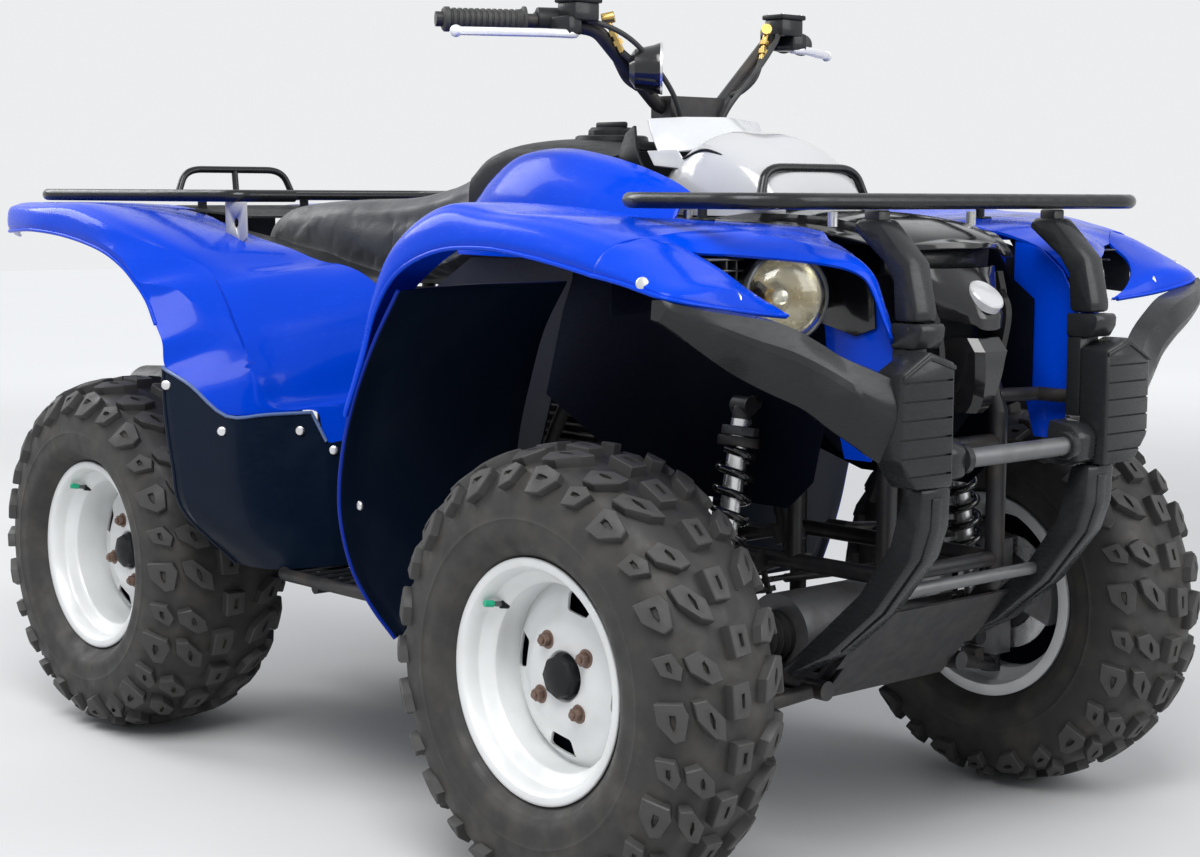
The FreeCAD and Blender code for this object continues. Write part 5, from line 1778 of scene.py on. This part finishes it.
def coil(low: Point, high: Point, radius: float, wire: float, turns: float, finish: str) -> Obj:
    """Helical spring between two points.

    Args:
        low: Lower end of its axis in millimetres.
        high: Upper end.
        radius: Radius of the wire's centre line.
        wire: Radius of the wire.
        turns: Number of turns.
        finish: Name of its finish.

    Returns:
        The new object.
    """
    a, b = Vector(low), Vector(high)
    way = (b - a).normalized()
    side = way.cross(Vector((1, 0, 0))).normalized()
    other = way.cross(side)
    count = int(turns * COIL_STEPS)
    points = []
    for i in range(count + 1):
        t = i / count
        angle = math.tau * turns * t
        at = a.lerp(b, t)
        points.append(tuple(at + (side * math.cos(angle) + other * math.sin(angle)) * radius))
    return pipe("coil", points, wire, finish, False, 12)


@dataclass
class Metalwork:
    """Racks, dampers, drive boots, engine and footboards."""

    rack_z: float = 940.0
    rack_r: float = 10.6
    bar_r: float = 6.8
    fins: int = 9
    fin_step: Point = (4.5, 0, 14)
    ribs: int = 10
    rib_step: Point = (32, 0, 0)
    # lower and upper eye of the front and the rear one
    dampers: tuple = (((711, 296, 262), (711, 226, 662)), ((-540, 240, 262), (-540, 200, 690)))

    def rounded(self, corners: list[Point], reach: float) -> list[Point]:
        """Line with each inner corner eased over a reach in millimetres."""
        points = [corners[0]]
        for before, here, after in zip(corners, corners[1:], corners[2:]):
            p, a, b = Vector(here), Vector(before), Vector(after)
            start = p + (a - p).normalized() * min(reach, (a - p).length * 0.45)
            end = p + (b - p).normalized() * min(reach, (b - p).length * 0.45)
            for k in range(9):
                t = k / 8
                points.append(tuple(start.lerp(p, t).lerp(p.lerp(end, t), t)))
        return points + [corners[-1]]

    def bar(self, corners: list[Point], radius: float, reach: float = 40.0) -> Obj:
        """Bent rack bar."""
        return pipe("bar", self.rounded(corners, reach), radius, "rack_black", False, 22)

    def racks(self) -> None:
        """Front and rear luggage racks with bent bars."""
        z, r, b = self.rack_z, self.rack_r, self.bar_r
        top, under = z + r - b, z - r + b
        half = [(630, 0, z), (630, 366, z), (690, 425, z), (880, 425, z), (930, 356, z),
                (930, 0, z)]
        ring = half + [(x, -y, c) for x, y, c in reversed(half[1:-1])] + [half[0]]
        parts = [self.bar(ring, r, 34)]
        parts += [self.bar([(630, y, top), (930, y, top)], b) for y in (-250, -120, 120, 250)]
        parts += [self.bar([(x, -424, under), (x, 424, under)], b) for x in (700, 770)]
        parts.append(self.bar([(630, -114, z), (622, -96, z + 46), (622, 96, z + 46),
                               (630, 114, z)], b, 36))
        parts += [self.bar([(700, s * 300, 913), (700, s * 300, under)], b) for s in (-1, 1)]
        parts += [prism("tab", [(686, y - 12), (714, y - 12), (714, y + 12), (686, y + 12)],
                        "xy", 911, 916, "rack_black", 2.0) for y in (-300, 300)]
        set_whole("front_rack_bars", parts, "front_rack")
        half = [(-924, 0, z), (-924, 400, z), (-880, 440, z), (-560, 380, z), (-400, 330, z),
                (-400, 215, z)]
        line = [(x, -y, c) for x, y, c in reversed(half[1:])] + half[1:]
        parts = [self.bar(line, r, 34)]
        parts += [self.bar([(x, -w, z), (x, w, z)], b) for x, w in ((-640, 388), (-780, 408))]
        parts += [self.bar([(-924, y, z), (-640, y, z)], b) for y in (-230, -108, 108, 230)]
        parts.append(self.bar([(-924, -134, z), (-930, -112, z + 50), (-930, 112, z + 50),
                               (-924, 134, z)], b, 36))
        parts.append(self.bar([(-924, 0, z), (-930, 0, z + 50)], b - 0.5))
        parts += [self.bar([(-860, s * 120, 862), (-860, s * 118, z)], 9) for s in (-1, 1)]
        plate = prism("plate", [(-440, 930), (-374, 930), (-372, 868), (-392, 858), (-438, 876)],
                      "xz", 327, 331, "bracket_grey", 1.5)
        cut(plate, lathe("hole", [(320, 0.1), (320, 9), (340, 9), (340, 0.1)], (-406, 894),
                         "bracket_grey", 32))
        parts.append(both_sides("plates", plate))
        set_whole("rear_rack_bars", parts, "rear_rack")

    def shocks(self) -> None:
        """Dampers with open coil springs."""
        parts = []
        for low, high in self.dampers:
            a, b = Vector(low), Vector(high)
            way = (b - a).normalized()
            size = (b - a).length

            def at(t: float, start: Vector = a, along: Vector = way) -> Point:
                """Point on the damper's axis."""
                return tuple(start + along * t)

            tubes = (
                (20, size * 0.5, 8, "bright_metal", 20, 0),
                (size * 0.28, size - 22, 14.5, "bright_metal", 28, 0),
                (6, 44, 15, "frame_black", 24, 2),
                (44, 52, 30, "frame_black", 36, 2),
                (size - 60, size - 46, 30, "frame_black", 36, 2),
                (size - 45, size - 32, 26, "dark_alloy", 8, 1.5),
                (size - 32, size - 4, 14, "frame_black", 24, 2),
            )
            for start, stop, radius, finish, sides, width in tubes:
                tube = pipe("tube", [at(start), at(stop)], radius, finish, False, sides)
                parts.append(bevelled(tube, width) if width else tube)
            parts.append(coil(at(56), at(size - 64), 23.0, 6.0, 10.0, "nose_gloss"))
            parts += [pipe("eye", [(p[0] - 15, p[1], p[2]), (p[0] + 15, p[1], p[2])], 13,
                           "frame_black", False, 28) for p in (at(3), at(size - 3))]
        set_pair("shock_springs", parts, "shocks")

    def drives(self) -> None:
        """Half shafts with bellows boots and clips."""
        parts = []
        # axle's x, end of the shaft, then where each boot starts and which way it narrows
        table = ((FRONT_X, 380, ((90, 1),)), (REAR_X, 310, ((90, 1), (310, -1))))
        for x, end, starts in table:
            for start, way in starts:
                line = [(start, 22), (start, 36)]
                for k in range(5):
                    y = start + way * (8 + k * 11)
                    line += [(y, 36 - k * 3.2), (y + way * 4, 38 - k * 3.4),
                             (y + way * 8, 31 - k * 3.2)]
                line += [(start + way * 66, 17), (start + way * 78, 16.5), (start + way * 78, 12)]
                parts.append(lathe("boot", line, (x, AXLE_Z), "grip_rubber", 56, True, 40))
                parts.append(lathe("clip", [(start + way * 68, 16), (start + way * 68, 18.5),
                                            (start + way * 74, 18.5), (start + way * 74, 16)],
                                   (x, AXLE_Z), "bright_metal", 40))
            parts.append(lathe("bar", [(90, 0.1), (90, 13), (end, 13), (end, 0.1)], (x, AXLE_Z),
                               "frame_black", 32))
        set_pair("drive_boots", parts, "half_shafts")

    def engine(self) -> None:
        """Engine with finned barrel, covers, bolts and hoses."""
        bodies: tuple = (
            (98, "dark_alloy", 10.0, [(-326, 300), (-300, 288), (300, 288), (328, 310),
                                      (328, 540), (300, 558), (-300, 558), (-328, 530)]),
            (176, "cast_alloy", 16.0, [(-298, 304), (56, 292), (118, 350), (118, 498),
                                       (20, 556), (-258, 556), (-318, 480)]),
            (78, "dark_alloy", 8.0, [(64, 540), (226, 540), (264, 698), (114, 716)]),
            (86, "cast_alloy", 9.0, [(112, 690), (262, 676), (270, 726), (240, 748),
                                     (140, 756), (116, 730)]),
        )
        parts = [prism("body", outline, "xz", -half, half, finish, width)
                 for half, finish, width, outline in bodies]
        fin = prism("fin", [(-102, -1.6), (102, -1.6), (102, 1.6), (-102, 1.6)], "xz", -95, 95,
                    "cast_alloy", 1.0)
        parts.append(REPEAT.row(fin, self.fins, (152, 0, 566), self.fin_step, "cast_alloy"))
        side = []
        for x, z, r in ((-190, 430, 104), (20, 420, 69)):
            side.append(lathe("cover", [(174, 0.1), (174, r), (184, r), (190, r - 10),
                                        (193, r - 34), (194, 18), (191, 14), (191, 0.1)], (x, z),
                              "cast_alloy", 72))
            head = lathe("bolt", [(183, 0.1), (183, 5.5), (190, 5.5), (190, 0.1)], (r - 9, 0),
                         "bright_metal", 6)
            side.append(REPEAT.ring(head, 8, (x, 0, z), "bright_metal"))
        side.append(pipe("hose", [(118, 150, 470), (190, 160, 500), (240, 150, 600),
                                  (270, 120, 700)], 11, "grip_rubber", True, 20))
        side.append(prism("starter", [(130, 380), (250, 380), (250, 440), (130, 440)], "xz", 60,
                          128, "dark_alloy", 18.0))
        parts.append(both_sides("sides", joined("side", side)))
        parts.append(pipe("intake", [(110, 0, 700), (60, 0, 740), (-20, 0, 750)], 26,
                          "grip_rubber", True, 28))
        set_whole("engine_body", parts, "engine")

    def footboards(self) -> None:
        """Ribbed footboards with a rounded tube edge."""
        tread = prism("tread", [(-146, 198), (198, 198), (198, 422), (-146, 422)], "xy", 322, 328,
                      "dark_plastic", 2.0)
        rib = prism("rib", [(-6, 214), (6, 214), (6, 410), (-6, 410)], "xy", 0, 7, "dark_plastic",
                    2.0)
        ribs = REPEAT.row(rib, self.ribs, (-118, 0, 327.5), self.rib_step, "dark_plastic")
        stud = lathe("stud", [(0, 0.1), (0, 5), (5, 4), (5.5, 0.1)], (0, 0), "bright_metal", 12)
        moved(stud, (0, 0, 0), (90, "X"))
        parts = [tread, ribs]
        for y in (250, 312, 374):
            studs = placed("studs", stud.data.copy())
            parts.append(REPEAT.row(studs, self.ribs - 1, (-102, y, 327), self.rib_step,
                                    "bright_metal"))
        bpy.data.objects.remove(stud)
        edge = self.rounded([(-140, 300, 332), (-140, 430, 332), (194, 430, 332), (194, 300, 332)],
                            34)
        parts.append(pipe("edge", edge, 10, "frame_black", False, 24))
        wall = prism("wall", [(-146, 328), (198, 328), (198, 336), (-146, 336)], "xz", 414, 422,
                     "dark_plastic", 2.0)
        set_pair("footboard_treads", parts + [wall], "footboards")

    def tail(self) -> None:
        """Ribbed tail lamp."""
        lens = prism("lens", [(-55, 851), (55, 851), (50, 889), (-50, 889)], "yz", -1030, -1017,
                     "tail_red", 3.5)
        rib = prism("rib", [(-50, -0.8), (50, -0.8), (50, 0.8), (-50, 0.8)], "yz", -1031, -1028,
                    "tail_red", 0.5)
        set_whole("tail_lens", [lens, REPEAT.row(rib, 5, (0, 0, 858), (0, 0, 6), "tail_red")],
                  "tail_lamp")

    def build(self) -> None:
        """Build all the metalwork."""
        self.racks()
        self.shocks()
        self.drives()
        self.engine()
        self.footboards()
        self.tail()


# Rider's end


@dataclass
class Bars:
    """Grips, levers, control boxes and cables of the handlebar."""

    route: tuple = ((360, 205, 1202), (396, 168, 1192), (408, 98, 1128), (398, 50, 1080),
                    (393, 40, 1050))
    cable_r: float = 4.0

    def on_bar(self, obj: Obj, y: float) -> Obj:
        """Turn a piece that was made about the y axis to lie on the grip's run from y on."""
        return moved(obj, (322 - 81 * (y - 245) / 151, y, 1200), (28.2, "Z"))

    def cable(self, name: str, side: Side) -> None:
        """Control cable as one smooth curve."""
        curve = bpy.data.curves.new(name, "CURVE")
        curve.dimensions = "3D"
        line = curve.splines.new("NURBS")
        line.points.add(len(self.route) - 1)
        for point, (x, y, z) in zip(line.points, self.route):
            point.co = (x * MM, side.value * y * MM, z * MM, 1.0)
        line.order_u = 3
        line.use_endpoint_u = True
        line.resolution_u = 12
        curve.bevel_depth = self.cable_r * MM
        curve.bevel_resolution = 5
        curve.use_fill_caps = True
        curve.materials.append(FINISH["grip_rubber"])
        obj = placed(name, curve)
        x, y, z = self.route[0]
        ride(obj, "handlebar", "control_cables")

    def build(self) -> None:
        """Build everything on the bars."""
        line = [(0, 11.3), (0, 21), (4, 21.5), (6, 18)]
        for k in range(12):
            y = 10 + k * 8.6
            line += [(y, 16.8), (y + 4.6, 16.8), (y + 5.6, 15.4), (y + 7.6, 15.4)]
        line += [(114, 18.2), (121, 18.2), (124, 15), (124, 0.1), (119, 0.1), (119, 11.3)]
        grip = self.on_bar(lathe("grip", line, (0, 0), "grip_rubber", 48, True, 30), 278)
        set_pair("grip_rubbers", [grip], "grips", "handlebar")
        blade = prism("blade", [(372, 230), (377, 250), (362, 292), (330, 350), (300, 400),
                                (288, 394), (312, 342), (346, 284), (356, 234)], "xy", 1174, 1186,
                      "lever_white", 4.5)
        ball = lathe("ball", [(9 * math.sin(math.radians(a)),
                               max(9 * math.cos(math.radians(a)), 0.1))
                              for a in range(-90, 91, 15)], (0, 0), "lever_white", 24)
        moved(ball, (292, 398, 1180))
        pin = pipe("pin", [(364, 240, 1178), (364, 240, 1200)], 6, "tube_steel", False, 18)
        set_pair("lever_blades", [blade, ball, pin], "levers", "handlebar")
        clamp = lathe("clamp", [(0, 11.4), (0, 20.5), (46, 20.5), (46, 11.4)], (0, 0),
                      "dark_plastic", 40)
        clamp = self.on_bar(bevelled(clamp, 3.0), 223)
        perch = prism("perch", [(330, 226), (374, 226), (378, 256), (340, 262)], "xy", 1178, 1206,
                      "guard_grey", 5.0)
        tank = prism("tank", [(338, 196), (378, 196), (378, 246), (338, 246)], "xy", 1200, 1228,
                     "guard_grey", 4.0)
        lid = prism("lid", [(335, 193), (381, 193), (381, 249), (335, 249)], "xy", 1226, 1234,
                    "dark_plastic", 2.5)
        screws = [pipe("screw", [(x, y, 1232), (x, y, 1235.5)], 3.6, "bright_metal", False, 14)
                  for x in (342, 374) for y in (200, 242)]
        button = prism("switches", [(-30, 18), (-8, 18), (-8, 40), (-30, 40)], "xy", -14, 16,
                       "dark_plastic", 4.0)
        button = self.on_bar(button, 228)
        fittings: tuple = (
            ([(367, 170, 1201), (376, 150, 1158)], 4.5, 16),
            ([(369.5, 164, 1189), (371, 161, 1182)], 8, 6),
            ([(372.5, 158, 1175), (374, 155, 1168)], 8, 6),
        )
        nut = [pipe("nut", line, radius, "brass_fitting", False, sides)
               for line, radius, sides in fittings]
        nut.append(pipe("sleeve", [(376, 150, 1158), (392, 118, 1128), (385, 94, 1107),
                                   (366, 84, 1100)], 5, "grip_rubber", True, 16))
        union = pipe("banjo", [(360, 176, 1205), (374, 164, 1209)], 8.5, "brass_fitting", False,
                     20)
        parts = [clamp, perch, tank, lid, *screws, button, joined("adjuster", nut), union]
        both = both_sides("side", joined("half", parts))
        cup = lathe("cup", [(-44, 0.1), (-44, 18), (-36, 29), (-8, 35), (0, 38), (4, 38),
                            (4, 34.5), (-7, 32), (-32, 26), (-34, 0.1)], (0, 0), "nose_gloss", 64)
        rim = lathe("rim", [(2, 34), (2, 38.6), (5.5, 38.6), (5.5, 34)], (0, 0), "bright_metal",
                    64)
        for part in (cup, rim):
            moved(part, (408, -104, 1134), (-44, "Z"))
        stay = pipe("stay", [(362, -104, 1106), (352, -120, 1120), (350, -138, 1146)], 5,
                    "frame_black", True, 14)
        set_whole("bar_controls", [both, cup, rim, stay], "controls", "handlebar")
        self.cable("control_cable_left", Side.LEFT)
        self.cable("control_cable_right", Side.RIGHT)


# Seat


@dataclass
class Saddle:
    """Long seat whose cover is stuffed by a cloth simulation."""

    voxel: float = 6.0
    cap: float = 9.0
    frames: int = 20
    pressure: float = 4.0
    rows: tuple = (
        # x, half width, low, top
        (-600, 132, 846, 880), (-575, 158, 842, 896), (-520, 174, 840, 912), (-450, 180, 832, 921),
        (-380, 181, 824, 925), (-310, 176, 812, 927), (-240, 163, 800, 929), (-170, 150, 806, 936),
        (-100, 138, 816, 951), (-45, 128, 836, 970), (2, 121, 864, 986),
    )

    def shape(self) -> Obj:
        """Slightly slim start shape of the pad."""
        sections = []
        for x, w, low, top in self.rows:
            sections.append([(x, w - 10, low), (x, w, low + 14), (x, w, top - 30),
                             (x, w * 0.9, top - 9), (x, w * 0.55, top - 1), (x, 0, top)])
        return shell_loft("seat_pad", whole_width(sections), "seat_vinyl", 3, 3, (), 60)

    def stuff(self, obj: Obj) -> None:
        """Swell the cover by cloth pressure, each point no further than the cap."""
        before = np.empty(len(obj.data.vertices) * 3)
        obj.data.vertices.foreach_get("co", before)
        tool = obj.modifiers.new("stuffing", "CLOTH")
        tool.settings.use_pressure = True
        tool.settings.uniform_pressure_force = self.pressure
        tool.settings.effector_weights.gravity = 0.0
        tool.settings.quality = 4
        tool.point_cache.frame_start = 1
        tool.point_cache.frame_end = self.frames
        stage = bpy.context.scene
        for step in range(1, self.frames + 1):
            stage.frame_set(step)
        graph = bpy.context.evaluated_depsgraph_get()
        mesh = obj.evaluated_get(graph).to_mesh()
        after = np.empty(len(mesh.vertices) * 3)
        mesh.vertices.foreach_get("co", after)
        obj.evaluated_get(graph).to_mesh_clear()
        obj.modifiers.clear()
        stage.frame_set(1)
        move = (after - before).reshape(-1, 3)
        size = np.linalg.norm(move, axis=1)[:, None]
        move *= np.minimum(1.0, self.cap * MM / np.maximum(size, 1e-9))
        obj.data.vertices.foreach_set("co", (before.reshape(-1, 3) + move).ravel())
        obj.data.update()

    def build(self) -> None:
        """Build the seat."""
        obj = self.shape()
        modified(obj, "REMESH", mode="VOXEL", voxel_size=self.voxel * MM, use_smooth_shade=True)
        self.stuff(obj)
        modified(obj, "SUBSURF", levels=1)
        obj.data.materials.clear()
        obj.data.materials.append(FINISH["seat_vinyl"])
        obj.data.shade_smooth()
        ride(obj, "chassis", "seat")


# Studio


@dataclass
class Studio:
    """Floor, lights and the camera at the photograph's angle."""

    eye: Point = (2.7282, -2.3166, 0.9515)
    yaw: float = 0.835777
    pitch: float = 0.111785
    roll: float = 0.00514
    lens: float = 63.46
    floor_size: float = 40.0

    def seen(self, tree: bpy.types.NodeTree) -> Socket:
        """1 for rays by which camera, gloss or glass see the backdrop, 0 for its light."""
        rays = tree.nodes.new("ShaderNodeLightPath")
        result = rays.outputs["Is Camera Ray"]
        for kind in ("Is Glossy Ray", "Is Transmission Ray"):
            either = tree.nodes.new("ShaderNodeMath")
            either.operation = "MAXIMUM"
            tree.links.new(result, either.inputs[0])
            tree.links.new(rays.outputs[kind], either.inputs[1])
            result = either.outputs["Value"]
        return result

    def floor(self) -> None:
        """Pale floor that fades into the backdrop."""
        half = self.floor_size / 2
        mesh = bpy.data.meshes.new("floor")
        mesh.from_pydata([(-half, -half, 0), (half, -half, 0), (half, half, 0), (-half, half, 0)],
                         [], [(0, 1, 2, 3)])
        obj = placed("floor", mesh)
        shader = Shader("floor_pale")
        tone = shader.clouds(1.2, 3, 0.3, 0.7, 0.60, 0.64)
        shader.put({"Base Color": tone, "Roughness": 0.7, "Emission Color": BACKDROP})
        away = shader.node("ShaderNodeVectorMath", operation="LENGTH")
        shader.link(shader.place, away.inputs[0])
        fade = shader.node("ShaderNodeMapRange", interpolation_type="SMOOTHSTEP")
        for slot, value in zip(("From Min", "From Max", "To Min", "To Max"),
                               (1.5, 8.0, 0.0, 0.62)):
            fade.inputs[slot].default_value = value
        shader.link(away.outputs["Value"], fade.inputs["Value"])
        glow = shader.node("ShaderNodeMath", operation="MULTIPLY")
        shader.link(fade.outputs["Result"], glow.inputs[0])
        shader.link(self.seen(shader.tree), glow.inputs[1])
        shader.link(glow.outputs["Value"], shader.surface.inputs["Emission Strength"])
        mesh.materials.append(shader.material)

    def camera(self) -> None:
        """Camera where the photograph was taken from."""
        cy, sy = math.cos(self.yaw), math.sin(self.yaw)
        cp, sp = math.cos(self.pitch), math.sin(self.pitch)
        back = Vector((sy * cp, -cy * cp, sp))
        right = Vector((cy, sy, 0.0))
        up = back.cross(right)
        turn = Matrix((right, up, back)).transposed().to_4x4()
        data = bpy.data.cameras.new("camera")
        data.lens = self.lens
        data.sensor_width = 36.0
        data.sensor_fit = "HORIZONTAL"
        obj = placed("camera", data)
        obj.matrix_world = (Matrix.Translation(Vector(self.eye)) @ turn
                            @ Matrix.Rotation(self.roll, 4, "Z"))
        bpy.context.scene.camera = obj

    def lamp(self, name: str, place: Point, aim: Point, size: float, power: float) -> None:
        """Soft square lamp.

        Args:
            name: Its name.
            place: Where it stands.
            aim: The point it shines at.
            size: Side of the square in metres.
            power: Watts.
        """
        data = bpy.data.lights.new(name, "AREA")
        data.size = size
        data.energy = power
        obj = placed(name, data)
        obj.location = place
        way = Vector(aim) - Vector(place)
        obj.rotation_euler = way.to_track_quat("-Z", "Y").to_euler()

    def world(self) -> None:
        """Pale sky that the camera and gloss see as the backdrop."""
        sky = bpy.data.worlds.new("backdrop")
        sky.use_nodes = True
        tree = sky.node_tree
        shade = tree.nodes["Background"]
        pick = tree.nodes.new("ShaderNodeMix")
        pick.data_type = "RGBA"
        pick.inputs[6].default_value = SKY
        pick.inputs[7].default_value = BACKDROP
        tree.links.new(self.seen(tree), pick.inputs[0])
        tree.links.new(pick.outputs[2], shade.inputs["Color"])
        shade.inputs["Strength"].default_value = 1.0
        bpy.context.scene.world = sky

    def build(self) -> None:
        """Set up the whole studio."""
        bpy.context.scene.view_settings.view_transform = "Standard"
        self.camera()
        self.floor()
        self.world()
        self.lamp("key", (2.2, -2.4, 4.2), (0, 0, 0.5), 2.6, 210)
        self.lamp("fill", (3.6, 1.6, 2.2), (0.4, 0, 0.5), 2.4, 60)
        self.lamp("rim", (-3.4, -1.2, 3.2), (-0.4, 0, 0.6), 2.4, 110)


def main() -> None:
    """Build the quad bike's looks in order."""
    logging.basicConfig(level=logging.INFO, format="%(name)s: %(message)s")
    Studio().build()
    dress_nodes()
    LOG.info("%d CAD nodes dressed", len(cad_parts))
    Wheel("front", FRONT_X, 474.0, 203.0, 85.0, 505.0, 440.3, 35.0).build()
    Wheel("rear", REAR_X, 414.0, 254.0, 103.0, 442.0, 360.3, 20.0).build()
    for part in (RearFender(), FrontFender(), CentreBody(), Headlamps(), Guard(), Metalwork(),
                 Bars(), Saddle()):
        part.build()
    bpy.context.view_layer.update()
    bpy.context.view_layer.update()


if __name__ == "__main__":
    main()
